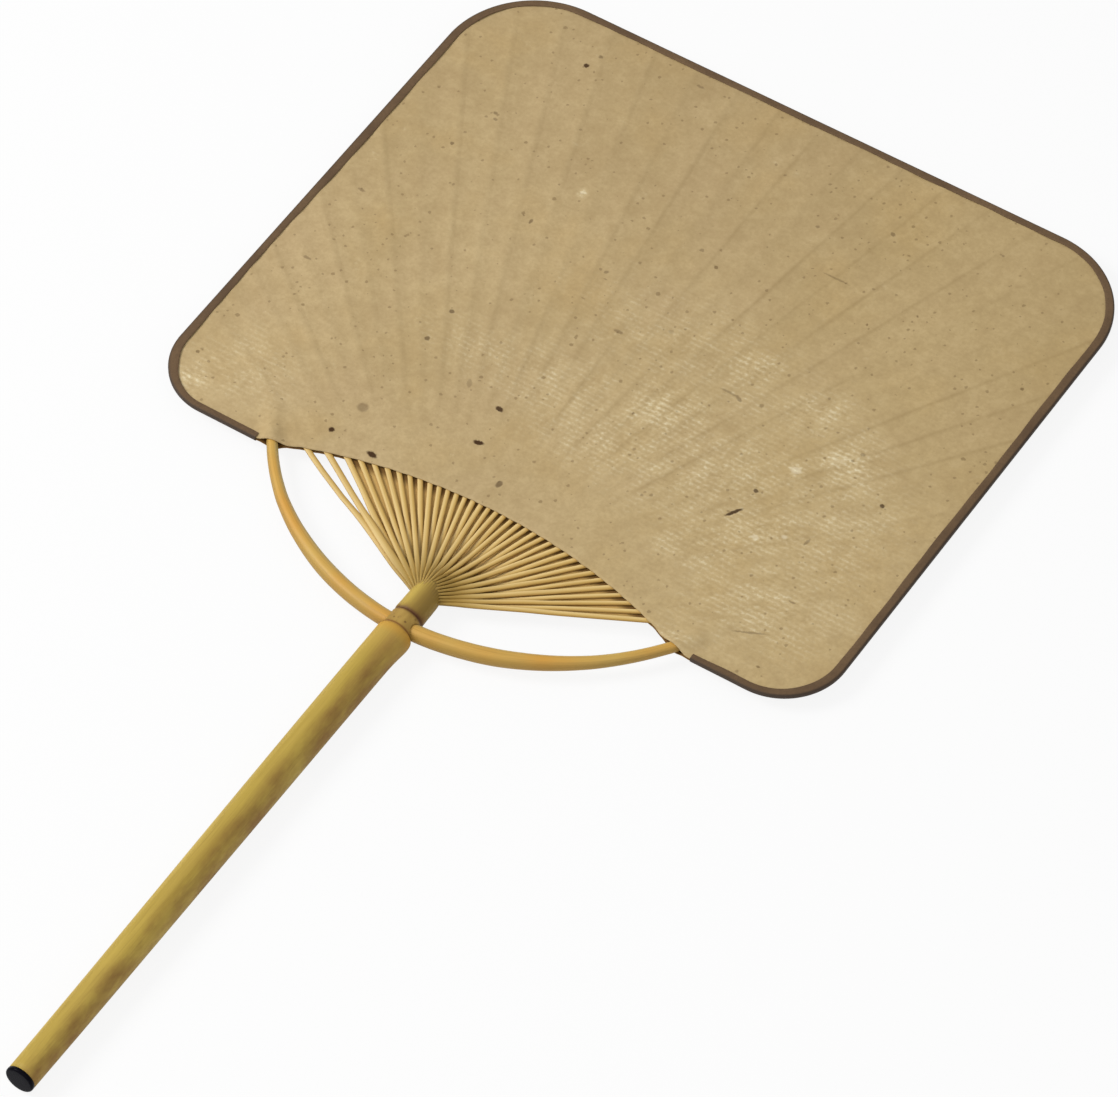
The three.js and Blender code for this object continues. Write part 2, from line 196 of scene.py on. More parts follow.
def bell(value, middle, width):
    """A soft bump that is 1 at a middle value and fades over a width on both sides."""
    off = maths("DIVIDE", maths("SUBTRACT", value, middle), width)
    return maths("EXPONENT", times(off, off, -1.0))


def noise(vector, scale, detail=3.0, roughness=0.5):
    """A soft random value from 0 to 1."""
    inputs = {"Vector": vector, "Scale": scale, "Detail": detail, "Roughness": roughness}
    return add(vector.id_data, "ShaderNodeTexNoise", inputs).outputs[0]


def stretched(vector, x, y, z):
    """Coordinates scaled along each axis, so that a pattern grows long in one of them."""
    return add(vector.id_data, "ShaderNodeMapping", {"Vector": vector, "Scale": (x, y, z)}).outputs[0]


def linear(red, green, blue):
    """A colour read off as 0 to 255, as the shader wants it."""
    values = [v / 255 for v in (red, green, blue)]
    return tuple(v / 12.92 if v <= 0.04045 else ((v + 0.055) / 1.055) ** 2.4 for v in values) + (1,)


def blend(factor, *colours):
    """Two colours mixed by a factor, each a socket or a colour read off as 0 to 255."""
    first, second = (colour if is_socket(colour) else linear(*colour) for colour in colours)
    return add(factor.id_data, "ShaderNodeMix", {0: factor, 6: first, 7: second}, data_type="RGBA").outputs[2]


def coats(colour, *layers):
    """A colour under thin coats, each given as how much of it shows and its own colour."""
    for amount, tint in layers:
        colour = blend(amount, colour, tint)
    return colour


# %% Helpers for finishes


def start_finish(name, *labels):
    """An empty finish, its shader, and what it reads: where a point is, or values kept there."""
    material = bpy.data.materials.new(name)
    material.use_nodes = True
    tree = material.node_tree
    tree.nodes.clear()
    shader = add(tree, "ShaderNodeBsdfPrincipled")
    add(tree, "ShaderNodeOutputMaterial", {"Surface": shader.outputs[0]})
    read = []
    for label in labels:
        if label == "where":
            read.append(add(tree, "ShaderNodeTexCoord").outputs["Object"])
        else:
            read.append(add(tree, "ShaderNodeAttribute", attribute_name=label).outputs["Fac"])
    return material, shader, *read


def end_finish(shader, colour, roughness, gloss, relief, strength, depth=0.0001):
    """Gives a shader its colour, its roughness, its level of gloss and a fine relief."""
    bump = add(shader.id_data, "ShaderNodeBump", {"Height": relief, "Strength": strength, "Distance": depth})
    fill(shader, {"Base Color": colour, "Roughness": roughness, "Specular IOR Level": gloss,
                  "Normal": bump.outputs[0]})
    print("a finish with", len(shader.id_data.nodes), "nodes")


# %% [markdown]
# The floor is a plain white sheet. What the camera sees of it is mostly its own white, with
# a little of its lit surface mixed in, so the fan keeps a soft shadow under it. The world
# is a soft white room. The window lamp stands low on the left, so the handle's left side is
# golden, its right side is in half shade, and the head grows darker away from the lamp.

# %% Floor, world and lamps
WHITE = (1, 1, 1, 1)
FLOOR_HALF = 6
OWN_WHITE, ROOM_LIGHT = 0.88, 0.48
floor_mesh = bpy.data.meshes.new("floor")
corners = [(x * FLOOR_HALF, y * FLOOR_HALF, 0) for x, y in ((-1, -1), (1, -1), (1, 1), (-1, 1))]
floor_mesh.from_pydata(corners, [], [(0, 1, 2, 3)])
floor = show("floor", floor_mesh)
floor_finish, shader = start_finish("white_floor")
fill(shader, {"Base Color": (0.86, 0.86, 0.86, 1), "Roughness": 0.9, "Specular IOR Level": 0.1})
tree = shader.id_data
ray = add(tree, "ShaderNodeLightPath").outputs
seen = maths("MAXIMUM", ray["Is Glossy Ray"], ray["Is Transmission Ray"])
seen = maths("MAXIMUM", ray["Is Camera Ray"], seen)
white = add(tree, "ShaderNodeEmission", {"Color": WHITE, "Strength": 1.0}).outputs[0]
mix = add(tree, "ShaderNodeMixShader", {0: times(seen, OWN_WHITE), 1: shader.outputs[0], 2: white})
fill(tree.nodes["Material Output"], {"Surface": mix.outputs[0]})
floor_mesh.materials.append(floor_finish)

world = bpy.data.worlds.new("white_room")
scene.world = world
world.use_nodes = True
tree = world.node_tree
tree.nodes.clear()
seen = add(tree, "ShaderNodeLightPath").outputs["Is Camera Ray"]
room = add(tree, "ShaderNodeBackground", {"Color": WHITE, "Strength": ROOM_LIGHT}).outputs[0]
paper_white = add(tree, "ShaderNodeBackground", {"Color": WHITE, "Strength": 1.0}).outputs[0]
mix = add(tree, "ShaderNodeMixShader", {0: seen, 1: room, 2: paper_white})
add(tree, "ShaderNodeOutputWorld", {"Surface": mix.outputs[0]})


def lamp(name, position, target, size, power):
    """A square soft lamp that points at a target."""
    data = bpy.data.lights.new(name, "AREA")
    data.shape, data.size, data.energy = "SQUARE", size, power
    stand(name, data, position, Vector(target) - Vector(position))


lamp("window", (-1.1, -0.55, 1.15), (0, 0.05, 0), 0.7, 19)
lamp("fill", (1.6, -1.2, 2.0), (0, 0, 0), 1.4, 8)

# %% [markdown]
# Meshes that follow a rule are written as rows of points. These helpers join the rows into
# faces, turn them outwards and keep any values or directions that a finish or a tree reads
# later, one per point.

# %% Helpers: a mesh from rows of points


def mesh_object(name, points, faces=(), edges=(), finish=None, **values):
    """An object at the origin from points in metres, with its finish and its point values."""
    mesh = bpy.data.meshes.new(name)
    mesh.from_pydata([tuple(p) for p in points], edges, faces)
    for label, rows in values.items():
        rows = np.asarray(rows, np.float32)
        kind, key = ("FLOAT_VECTOR", "vector") if rows.ndim == 2 else ("FLOAT", "value")
        mesh.attributes.new(label, kind, "POINT").data.foreach_set(key, rows.ravel())
    if finish:
        mesh.materials.append(finish)
    mesh.polygons.foreach_set("use_smooth", [True] * len(mesh.polygons))
    return show(name, mesh)


def applied(item, modifier):
    """The plain mesh of an object with a modifier applied. The modifier is taken off."""
    mesh = bpy.data.meshes.new_from_object(item.evaluated_get(bpy.context.evaluated_depsgraph_get()))
    item.modifiers.remove(modifier)
    return mesh


def turn_outwards(piece):
    """Merges doubles and points every face outwards."""
    work = bmesh.new()
    work.from_mesh(piece.data)
    bmesh.ops.remove_doubles(work, verts=work.verts, dist=1e-7)
    bmesh.ops.recalc_face_normals(work, faces=work.faces)
    work.to_mesh(piece.data)
    work.free()
    piece.data.update()


def ring_faces(rows, columns, closed=True):
    """Quads between rows of points, each row a ring or an open strip."""
    faces = []
    for row in range(rows - 1):
        for column in range(columns if closed else columns - 1):
            a = row * columns + column
            b = row * columns + (column + 1) % columns
            faces.append((a, b, b + columns, a + columns))
    return faces


print("mesh helpers are ready")

# %% [markdown]
# The ribs were spread by hand, so their spacing is a smooth curve with small errors. The
# outermost ones pass the tips of the bow at a set distance. Ribs with an odd number come
# from the front half of the split bamboo and ribs with an even number from its back half:
# near the neck the two halves lie over each other, and further out they share one plane.

# %% Where the ribs run
RIBS = 36
APEX = 208.5
SPLIT = 210.3
HEAD_FOOT, HEAD_TOP, HEAD_HALF = 234.1, 440.0, 121.3
TOP_CORNER, FOOT_CORNER = 32.5, 21.7
NECK_RADIUS, RIB_WALL = 4.95, 1.5
ROOT_RADIUS = NECK_RADIUS - RIB_WALL / 2
EXIT, TWIST_END, SETTLE = 5.4, 18.0, 34.0
LAP, LAP_END, LAP_RUN = 0.36, 30.0, 12.0


def rib_angle(index):
    """The angle of a rib from the fan's middle line, in radians."""
    u = (2 * index - RIBS + 1) / (RIBS - 1)
    return math.radians(62.7 * u + (1 - u * u) * (1.9 + u * (4.4 + u * 2.7)))


def outline_distance(x, y):
    """How far a point lies outside the head's rounded outline; negative inside."""
    middle, half = (HEAD_FOOT + HEAD_TOP) / 2, (HEAD_TOP - HEAD_FOOT) / 2
    radius = TOP_CORNER if y > middle else FOOT_CORNER
    dx, dy = abs(x) - HEAD_HALF + radius, abs(y - middle) - half + radius
    return math.hypot(max(dx, 0), max(dy, 0)) + min(max(dx, dy), 0) - radius


def rib_reach(angle, inset=1.3):
    """The length of a rib from the apex to just inside the bound edge, found by halving."""
    low, high = EXIT, 400.0
    for _ in range(40):
        middle = (low + high) / 2
        if outline_distance(middle * math.sin(angle), APEX + middle * math.cos(angle)) < -inset:
            low = middle
        else:
            high = middle
    return low


def smooth(value, low, high):
    """An even step from 0 to 1 between two values."""
    t = min(max((value - low) / (high - low), 0), 1)
    return t * t * (3 - 2 * t)


def rib_lift(start, radius):
    """Height over the middle plane of a rib that leaves the neck at a given height."""
    run = min(max((SETTLE - radius) / (SETTLE - EXIT), 0), 1)
    return (start - LAP) * run**2.2 + LAP * (1 - smooth(radius, LAP_END, LAP_END + LAP_RUN))


angles = [rib_angle(i) for i in range(RIBS)]
print("ribs from", round(math.degrees(angles[0]), 1), "to", round(math.degrees(angles[-1]), 1), "degrees")

# %% [markdown]
# Ribs, bow and edge strip are all one thing to a maker: a long strip of some section that
# follows a path. So one Geometry Nodes tree sweeps any section along any row of lines. The
# path's points carry the strip's directions and sizes as named attributes, and the section's
# points carry their place across it, so the tree only has to put each point where they say.
# Small random values make each strip a little different, as split bamboo is.

# %% Helpers: paths and sections that carry their own attributes


def line_object(name, chains, closed=False, **values):
    """Loose lines through chains of points, with one value or direction for each point."""
    points, edges = [], []
    for chain in chains:
        first = len(points)
        points.extend(chain)
        edges.extend((i, i + 1) for i in range(first, len(points) - 1))
        if closed:
            edges.append((len(points) - 1, first))
    line = mesh_object(name, points, edges=edges, **values)
    line.hide_render = True
    return line


def section_object(name, outline):
    """A closed section, its points given as (across, through) pairs."""
    u, v = zip(*outline)
    return line_object(name, [[(*pair, 0) for pair in outline]], closed=True, u=u, v=v)


def rounded_box(corner, steps):
    """The outline of a box from -1 to 1 with round corners."""
    outline = []
    for cx, cy, start in ((1, 1, 0), (-1, 1, 90), (-1, -1, 180), (1, -1, 270)):
        for step in range(steps + 1):
            a = math.radians(start + 90 * step / steps)
            outline.append((cx * (1 - corner) + corner * math.cos(a),
                            cy * (1 - corner) + corner * math.sin(a)))
    return outline


def frames_along(chain, wide):
    """Directions through a strip at each point of a chain, square to its path and its width."""
    chain, wide = np.asarray(chain), np.array(wide, float)
    path = np.gradient(chain, axis=0)
    path /= np.linalg.norm(path, axis=1, keepdims=True)
    wide -= (wide * path).sum(1, keepdims=True) * path
    wide /= np.linalg.norm(wide, axis=1, keepdims=True)
    return wide, np.cross(path, wide)


def strip_lines(name, strips):
    """Lines for the sweeping tree. Each strip has its path, the directions of its width, its
    half width, half thickness, flare and length so far, all in millimetres."""
    labels = ("centre", "wide", "thick", "half_wide", "half_thick", "flare", "along", "strand")
    table = []
    for number, (path, outward, *sizes) in enumerate(strips):
        count = len(path)
        sizes = [np.broadcast_to(size, count) * MM for size in sizes]
        table.append([place_all(path), *frames_along(path, outward), *sizes, np.full(count, number)])
    columns = [np.concatenate(column) for column in zip(*table)]
    return line_object(name, [rows[0] for rows in table], **dict(zip(labels, columns)))


def length_so_far(path):
    """The length of a path up to each of its points."""
    return np.concatenate([[0], np.cumsum(np.linalg.norm(np.diff(path, axis=0), axis=1))])


print("path helpers are ready")

# %% The sweeping tree


def new_tree(name, sizes):
    """An empty geometry tree with named inputs, given as (name, kind, value)."""
    tree = bpy.data.node_groups.new(name, "GeometryNodeTree")
    for direction in ("INPUT", "OUTPUT"):
        tree.interface.new_socket("Geometry", in_out=direction, socket_type="NodeSocketGeometry")
    for label, kind, value in sizes:
        socket = tree.interface.new_socket(label, in_out="INPUT", socket_type="NodeSocket" + kind)
        if value is not None:
            socket.default_value = value
    return tree, tree.nodes.new("NodeGroupInput").outputs, tree.nodes.new("NodeGroupOutput")


def named(tree, label, kind="FLOAT"):
    """A named attribute of the geometry."""
    return add(tree, "GeometryNodeInputNamedAttribute", {"Name": label}, data_type=kind).outputs[0]


def finish_tree(geometry, material, result):
    """Every tree ends the same way: real geometry, with its finish."""
    tree = geometry.id_data
    real = add(tree, "GeometryNodeRealizeInstances", {"Geometry": geometry}).outputs[0]
    dressed = add(tree, "GeometryNodeSetMaterial", {"Geometry": real, "Material": material}).outputs[0]
    fill(result, {"Geometry": dressed})


sweep_tree, given, result = new_tree("sweep_strip", [
    ("Section", "Object", None), ("Width Spread", "Float", 0.0), ("Wobble", "Float", 0.0),
    ("Grain Length", "Float", 0.02), ("Seed", "Int", 1), ("Finish", "Material", None)])
rail = add(sweep_tree, "GeometryNodeMeshToCurve", {"Mesh": given["Geometry"]}).outputs[0]
section = add(sweep_tree, "GeometryNodeObjectInfo", {"Object": given["Section"]}).outputs["Geometry"]
section = add(sweep_tree, "GeometryNodeMeshToCurve", {"Mesh": section}).outputs[0]
swept = add(sweep_tree, "GeometryNodeCurveToMesh",
            {"Curve": rail, "Profile Curve": section, "Fill Caps": True}).outputs[0]
u, v, strand, along, half_wide, half_thick, flare = (
    named(sweep_tree, label) for label in ("u", "v", "strand", "along", "half_wide", "half_thick", "flare"))
spread = add(sweep_tree, "FunctionNodeRandomValue",
             {"Min": -1.0, "Max": 1.0, "Seed": given["Seed"], "ID": strand}, data_type="FLOAT").outputs[1]
half_wide = times(half_wide, maths("ADD", 1.0, times(spread, given["Width Spread"])))
half_thick = maths("ADD", half_thick, times(u, flare))
grain = vector_of(maths("DIVIDE", along, given["Grain Length"]), times(strand, 3.7), given["Seed"])
sway = times(maths("SUBTRACT", noise(grain, 1.0, 2.0), 0.5), given["Wobble"])
across = maths("ADD", times(u, half_wide), sway)
through = times(v, half_thick)
centre, wide, thick = (named(sweep_tree, label, "FLOAT_VECTOR") for label in ("centre", "wide", "thick"))
moved = vector_maths("ADD", centre, vector_maths("SCALE", wide, scale=across))
moved = vector_maths("ADD", moved, vector_maths("SCALE", thick, scale=through))
placed = add(sweep_tree, "GeometryNodeSetPosition", {"Geometry": swept, "Position": moved}).outputs[0]
finish_tree(placed, given["Finish"], result)
print("sweeping tree has", len(sweep_tree.nodes), "nodes")

# %% Helper: run a tree on an object and keep the result as a plain mesh


def run_tree(tree, source, name, **inputs):
    """The result of a tree on a source object, as a mesh object at the origin."""
    modifier = source.modifiers.new("nodes", "NODES")
    modifier.node_group = tree
    keys = {item.name: item.identifier for item in tree.interface.items_tree if item.in_out == "INPUT"}
    for label, value in inputs.items():
        modifier[keys[label.replace("_", " ")]] = value
    mesh = applied(source, modifier)
    mesh.name = name
    built = show(name, mesh)
    turn_outwards(built)
    mesh.polygons.foreach_set("use_smooth", [True] * len(mesh.polygons))
    print(name, "has", len(mesh.polygons), "faces")
    return built


# %% [markdown]
# The rubbed outer skin of split bamboo is smooth, golden and a little glossy, with fine lines
# along the grain. On each rib the side that looks to the fan's middle line has a painted
# highlight and the other side painted shade; both edges are darker, and near the neck all of
# them are browner.

# %% Finish: split ribs
ribs_finish, shader, side, strand, along = start_finish("split_bamboo", "u", "strand", "along")
fibre = noise(vector_of(times(along, 60.0), times(side, 6.0), times(strand, 5.3)), 1.0, 4.0, 0.6)
tone = noise(vector_of(times(along, 12.0), times(strand, 9.1)), 1.0)
on_right = maths("GREATER_THAN", strand, 17.5)
# One side of each rib gets a painted highlight and the other side painted shade.
rubbed_and_lit = times(side, maths("MULTIPLY_ADD", on_right, -2.0, 1.0))
colour = coats(
    blend(ramp(tone, (0.3, 0), (0.7, 1)), (208, 172, 96), (222, 190, 120)),
    (step_up(rubbed_and_lit, -0.2, 0.5, 0.55), (242, 214, 152)),
    (step_up(rubbed_and_lit, -0.1, -0.8, 0.75), (172, 132, 58)),
    (ramp(fibre, (0.5, 0), (0.75, 0.55)), (176, 136, 68)),
    (ramp(maths("ABSOLUTE", side), (0.75, 0), (1.0, 0.6)), (164, 124, 54)),
    (step_up(along, 0.028, 0.007, 0.85), (166, 136, 66)))
end_finish(shader, colour, 0.5, 0.35, fibre, 0.25)

# %% [markdown]
# Each rib starts as a slice of the neck's wall, standing on edge, and is rubbed round until
# it lies flat in the fan. So its width turns from pointing outwards at the neck to lying
# across the fan, over the first 18 mm. The first ribs on the left are wider than the others
# and lie a little off their even places.

# %% Ribs
PITCH, SUNK, SAW_CUT = 2 * math.pi / RIBS, 0.22, 0.05
FLAT_WIDTH, FLAT_THICKNESS = 1.66, 0.6
WIDE_RIBS, WIDE_WIDTH, WIDE_MORE = 3, 1.84, 0.5
STRAY = {0: 1.2, 1: 0.5, 2: -0.3}
BULGE = {0: -0.15, 1: 0.4, 2: 0.7, 3: 0.4}
ROOT_HEIGHTS = (-3.0, -1.4, 0.0)
NEAR_STEPS, NEAR_END, FAR_START, FAR_STEPS = 18, 48, 60, 12


def rib_strip(index):
    """One rib for the sweeping tree: path, directions and sizes, from its root to its end."""
    face = 1 if index % 2 else -1
    ring = math.pi * ((index // 2 + 0.5) / (RIBS // 2) - 0.5)
    angle = angles[index]
    root = np.array([math.sin(ring), 0, face * math.cos(ring)])
    start_x, start_lift = (ROOT_RADIUS - SUNK) * root[0], (ROOT_RADIUS - SUNK) * abs(root[2])
    shift = start_x - EXIT * math.sin(angle)
    outward = np.array([math.cos(angle), -math.sin(angle), 0]) * (1 if start_x >= 0 else -1)
    near = EXIT + (NEAR_END - EXIT) * (np.arange(NEAR_STEPS + 1) / NEAR_STEPS) ** 1.3
    radii = np.concatenate([near, np.linspace(FAR_START, rib_reach(angle), FAR_STEPS)])
    path = [(start_x, SPLIT + height, face * start_lift) for height in ROOT_HEIGHTS]
    wide, flat = [root] * len(path), [0.0] * len(path)
    for radius in radii:
        turned = smooth(radius, EXIT, TWIST_END)
        stray = STRAY.get(index, 0) * smooth(radius, 30, 54) * (1 - smooth(radius, 62, 95))
        stray += BULGE.get(index, 0) * smooth(radius, 10, 28) * (1 - smooth(radius, 34, 62))
        path.append((radius * math.sin(angle) + shift * (1 - turned) - stray * math.cos(angle),
                     APEX + radius * math.cos(angle) + stray * math.sin(angle),
                     face * rib_lift(start_lift, radius)))
        wide.append(root * (1 - turned) + outward * turned)
        flat.append(turned)
    flat = np.array(flat)
    width = np.full(len(path), FLAT_WIDTH)
    if index < WIDE_RIBS:
        more = [smooth(r, 8, 18) * (1 - smooth(r, 28, 46)) for r in radii]
        width[-len(radii):] = WIDE_WIDTH + WIDE_MORE * np.array(more)
    skin, pith = ((PITCH * radius - SAW_CUT) * (1 - flat) + FLAT_THICKNESS * flat
                  for radius in (NECK_RADIUS, NECK_RADIUS - RIB_WALL))
    half_wide = (RIB_WALL * (1 - flat) + width * flat) / 2
    half_thick = (skin + pith) / 4 + 0.5 * flat * (1 - flat)
    along = np.concatenate([np.zeros(len(ROOT_HEIGHTS)), radii])
    return path, wide, half_wide, half_thick, (skin - pith) / 4, along


rib_lines = strip_lines("rib_lines", [rib_strip(index) for index in range(RIBS)])
rib_section = section_object("rib_section", rounded_box(0.5, 3))
ribs = run_tree(sweep_tree, rib_lines, "ribs", Section=rib_section, Width_Spread=0.1,
                Wobble=0.0004, Grain_Length=0.05, Seed=5, Finish=ribs_finish)
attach(ribs, "root")
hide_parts("split_culm")

# %% [markdown]
# The handle keeps the bamboo's own skin, greener and browner in long soft bands, with an
# orange tint where the node was trimmed; its brown blotches grow stronger on its right side as
# painted shade. Above it come the pale band with dark dots, the groove, painted darker, and the
# neck, which is olive and scorched at its foot. The neck has a painted highlight on its left
# side and painted shade on its right, and painted shade in the slits where the ribs part.

# %% Finish: bamboo skin
skin_finish, shader, where, up_handle = start_finish("bamboo_skin", "where", "along")
from_axis, _, over_floor = parts_of(where)
bands = noise(stretched(where, 260, 14, 260), 1.0, 3.0)
streaks = noise(stretched(where, 2200, 60, 2200), 1.0, 3.0, 0.6)
blotch = noise(stretched(where, 150, 52, 150), 1.0, 4.0, 0.6)
# Painted shade: the brown blotches grow stronger towards the handle's right side.
right_side_shade = maths("ADD", step_up(from_axis, -0.001, 0.004), 0.2)
node_band = blend(ramp(blotch, (0.4, 0), (0.6, 1)), (156, 122, 54), (182, 148, 74))
dots = add(where.id_data, "ShaderNodeTexVoronoi",
           {"Vector": stretched(where, 700, 700, 700), "Scale": 1.0}).outputs
spots = times(step_up(dots["Distance"], 0.42, 0.16), ramp(dots["Color"], (0.5, 0), (0.56, 0.9)),
              bell(up_handle, 0.198, 0.0022))
colour = coats(
    blend(ramp(bands, (0.3, 0), (0.7, 1)), (179, 152, 60), (200, 172, 79)),
    (times(ramp(blotch, (0.36, 0.15), (0.66, 0.85)), right_side_shade), (142, 106, 50)),
    (ramp(streaks, (0.5, 0), (0.8, 0.35)), (126, 98, 36)),
    (step_up(up_handle, 0.176, 0.192, 0.45), (196, 158, 76)),
    (step_up(up_handle, 0.1895, 0.1938, 0.75), (200, 150, 54)),
    (step_up(up_handle, 0.1944, 0.1948), node_band),
    (spots, (88, 54, 22)))

# Painted shade in the slits where the ribs part, near the neck's end.
turn_of = maths("ARCTAN2", from_axis, maths("SUBTRACT", over_floor, HANDLE_RADIUS * MM))
slit_shade = maths("ABSOLUTE", maths("SINE", times(turn_of, 18.0)))
slit_shade = times(step_up(slit_shade, 0.45, 0.1), step_up(up_handle, 0.2078, 0.2102, 0.75))
scorch = times(step_up(up_handle, 0.2052, 0.2014), ramp(blotch, (0.4, 0), (0.62, 0.8)))
# The groove is painted darker.
groove_dark = times(bell(up_handle, 0.2012, 0.0008), ramp(bands, (0.3, 0.75), (0.6, 1)))
# The neck's left side gets a painted highlight and its right side painted shade.
neck = coats(
    blend(step_up(from_axis, -0.003, 0.002), (196, 168, 77), (157, 128, 55)),
    (ramp(bands, (0.4, 0), (0.7, 0.5)), (124, 96, 42)),
    (scorch, (120, 78, 34)),
    (slit_shade, (104, 76, 30)))
colour = coats(
    colour,
    (step_up(up_handle, 0.2010, 0.2016), neck),
    (bell(up_handle, 0.1949, 0.0004), (132, 88, 34)),
    (groove_dark, (84, 44, 14)))
end_finish(shader, colour, ramp(blotch, (0.3, 0.5), (0.7, 0.66)), 0.35, streaks, 0.2)

# %% [markdown]
# The handle is a turned shape with small flaws: bamboo is never quite round or straight. Its
# profile is given as stations, with straight lines between them. The neck ends where its wall
# was split, which is further up on its face than at its sides. A rod through the node is cut
# away with a Boolean, for the bow.

# %% Handle, node and neck
BUTT, BORE, BORE_END = 1.35, 2.6, 187
NODE_Y, BOW_HOLE = 197.6, 2.95
CLIMB_START, FRONT_RISE, RIGHT_RISE = 203.5, 4.4, 0.8
RIM_Y, RIM_BULGE = 192.2, 0.6
AROUND = 72
STATIONS = np.array([
    (BUTT, 4.75), (30, 4.92), (70, 5.12), (110, 5.3), (150, 5.46), (180, 5.57), (189, 5.64),
    (192.4, 5.66), (193.3, 5.62), (194.0, 5.45), (194.5, 5.12), (195.4, 5.04), (198.0, 5.0),
    (200.2, 5.06), (200.7, 4.95), (201.0, 4.7), (201.4, 4.7), (201.75, 4.95), (202.3, 5.06),
    (205.0, 4.98), (208.0, 4.95), (SPLIT, 4.95)])
heights = np.unique(np.concatenate([
    np.linspace(BUTT, 190, 90), np.linspace(190, SPLIT, 82), STATIONS[:, 0]]))
radii = np.interp(heights, STATIONS[:, 0], STATIONS[:, 1])
around = 2 * np.pi * np.arange(AROUND) / AROUND
points, heights_at = [], []


def ring_of(height, radius, flawed=True):
    """One ring of the handle, a little out of round and off its axis if it is flawed."""
    flaw = 0.05 * np.sin(around * 2 + height / 37) + 0.03 * np.sin(around * 3 + height / 19 + 1)
    drift = 0.12 * math.sin(height / 31) if flawed and height < 185 else 0
    size = np.minimum(radius + (flaw if flawed else 0), HANDLE_RADIUS)
    climb = min(max((height - CLIMB_START) / (SPLIT - CLIMB_START), 0), 1) ** 2
    for a, r in zip(around, np.broadcast_to(size, around.shape)):
        front, right = abs(math.cos(a)), max(0, math.sin(a))
        rise = climb * (FRONT_RISE * front**1.3 + RIGHT_RISE * right)
        r -= (0.18 + 0.22 * front) * climb**3
        r += RIM_BULGE * right**2 * math.exp(-((height - RIM_Y) / 4.5)**2) * (height < 194.5)
        points.append((r * math.sin(a) + drift, height + rise, r * math.cos(a)))
        heights_at.append(height * MM)


def turned_faces():
    """The faces of the rings in the list of points, with both ends closed."""
    rows = len(points) // AROUND
    ends = [tuple(range(AROUND)), tuple(range((rows - 1) * AROUND, rows * AROUND))]
    return ring_faces(rows, AROUND) + ends


for height in (BORE_END, BUTT):
    ring_of(height, BORE, False)
for height, radius in zip(heights, radii):
    ring_of(height, radius)
for height, radius in ((SPLIT, 4.72), (SPLIT - 1.5, 3.4), (203, 3.4)):
    ring_of(height, radius, False)
handle = mesh_object("handle", place_all(points), turned_faces(), finish=skin_finish, along=heights_at)
turn_outwards(handle)

rod = bpy.data.meshes.new("bow_hole")
work = bmesh.new()
across_node = Matrix.Translation(place(0, NODE_Y)) @ Matrix.Rotation(math.pi / 2, 4, "Y")
bmesh.ops.create_cone(work, cap_ends=True, segments=40, radius1=BOW_HOLE * MM, radius2=BOW_HOLE * MM,
                      depth=0.02, matrix=across_node)
work.to_mesh(rod)
work.free()
rod = show("bow_hole", rod)
cut = handle.modifiers.new("hole", "BOOLEAN")
cut.operation, cut.object, cut.solver = "DIFFERENCE", rod, "EXACT"
handle.data = applied(handle, cut)
bpy.data.objects.remove(rod)
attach(handle, "root")
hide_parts("split_culm")
print("handle has", len(handle.data.polygons), "faces")

# %% [markdown]
# The bow is shaved to a round rod, thick in the middle, and bent hot. Its curve flattens at
# the node and steepens towards the tips, which a polynomial in even powers describes well.
# It is swept by the same tree as the ribs, with a round section.

# %% Finish: shaved bow
bow_finish, shader, along, across, through = start_finish("shaved_bow", "along", "u", "v")
fibre = noise(vector_of(times(along, 45.0), times(across, 6.0), times(through, 6.0)), 1.0, 4.0, 0.65)
warm = noise(vector_of(times(along, 40.0)), 1.0, 2.0)
colour = coats(
    blend(ramp(warm, (0.35, 0), (0.65, 1)), (204, 168, 86), (210, 156, 66)),
    (ramp(fibre, (0.48, 0), (0.75, 0.6)), (166, 126, 58)),
    # The upper side gets a painted highlight and the lower side painted shade.
    (step_up(across, 0.2, 0.8, 0.6), (208, 188, 124)),
    (step_up(across, -0.35, -1.0, 0.6), (150, 120, 56)))
end_finish(shader, colour, 0.5, 0.35, fibre, 0.25)

# %% Bow
BOW_SPAN, BOW_EDGE, BOW_POINTS = 78.5, 73.0, 161
BOW_RISE = HEAD_FOOT + 9.8 - NODE_Y
THICK_RADIUS, EDGE_RADIUS, TIP_RADIUS = 2.75, 1.8, 1.15


def bow_y(x):
    """Height of the bow's centre line at a distance from the middle."""
    q = (x / BOW_SPAN) ** 2
    return NODE_Y + BOW_RISE * q * (0.805 + q * (-0.021 + q * 0.216))


def bow_radius(x):
    """Half the bow's thickness, which a knife thins towards the tips."""
    thinned = smooth(abs(x) / BOW_EDGE, 0.35, 1)
    beyond = max(0, (abs(x) - BOW_EDGE) / (BOW_SPAN - BOW_EDGE))
    return THICK_RADIUS + (EDGE_RADIUS - THICK_RADIUS) * thinned + (TIP_RADIUS - EDGE_RADIUS) * beyond


bow_x = BOW_SPAN * np.sin(np.linspace(-math.pi / 2, math.pi / 2, BOW_POINTS))
bow_path = np.array([(x, bow_y(x), 0) for x in bow_x])
bow_half = np.array([bow_radius(x) for x in bow_x])
upwards = np.tile((0.0, 1.0, 0.0), (BOW_POINTS, 1))
bow_line = strip_lines("bow_line", [(bow_path, upwards, bow_half, bow_half, 0.0, length_so_far(bow_path))])
circle = [(math.cos(a), math.sin(a)) for a in np.linspace(0, 2 * math.pi, 28, endpoint=False)]
round_section = section_object("round_section", circle)
bow = run_tree(sweep_tree, bow_line, "bow_rod", Section=round_section, Wobble=0.0005,
               Grain_Length=0.02, Seed=9, Finish=bow_finish)
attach(bow, "root")
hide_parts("bow")

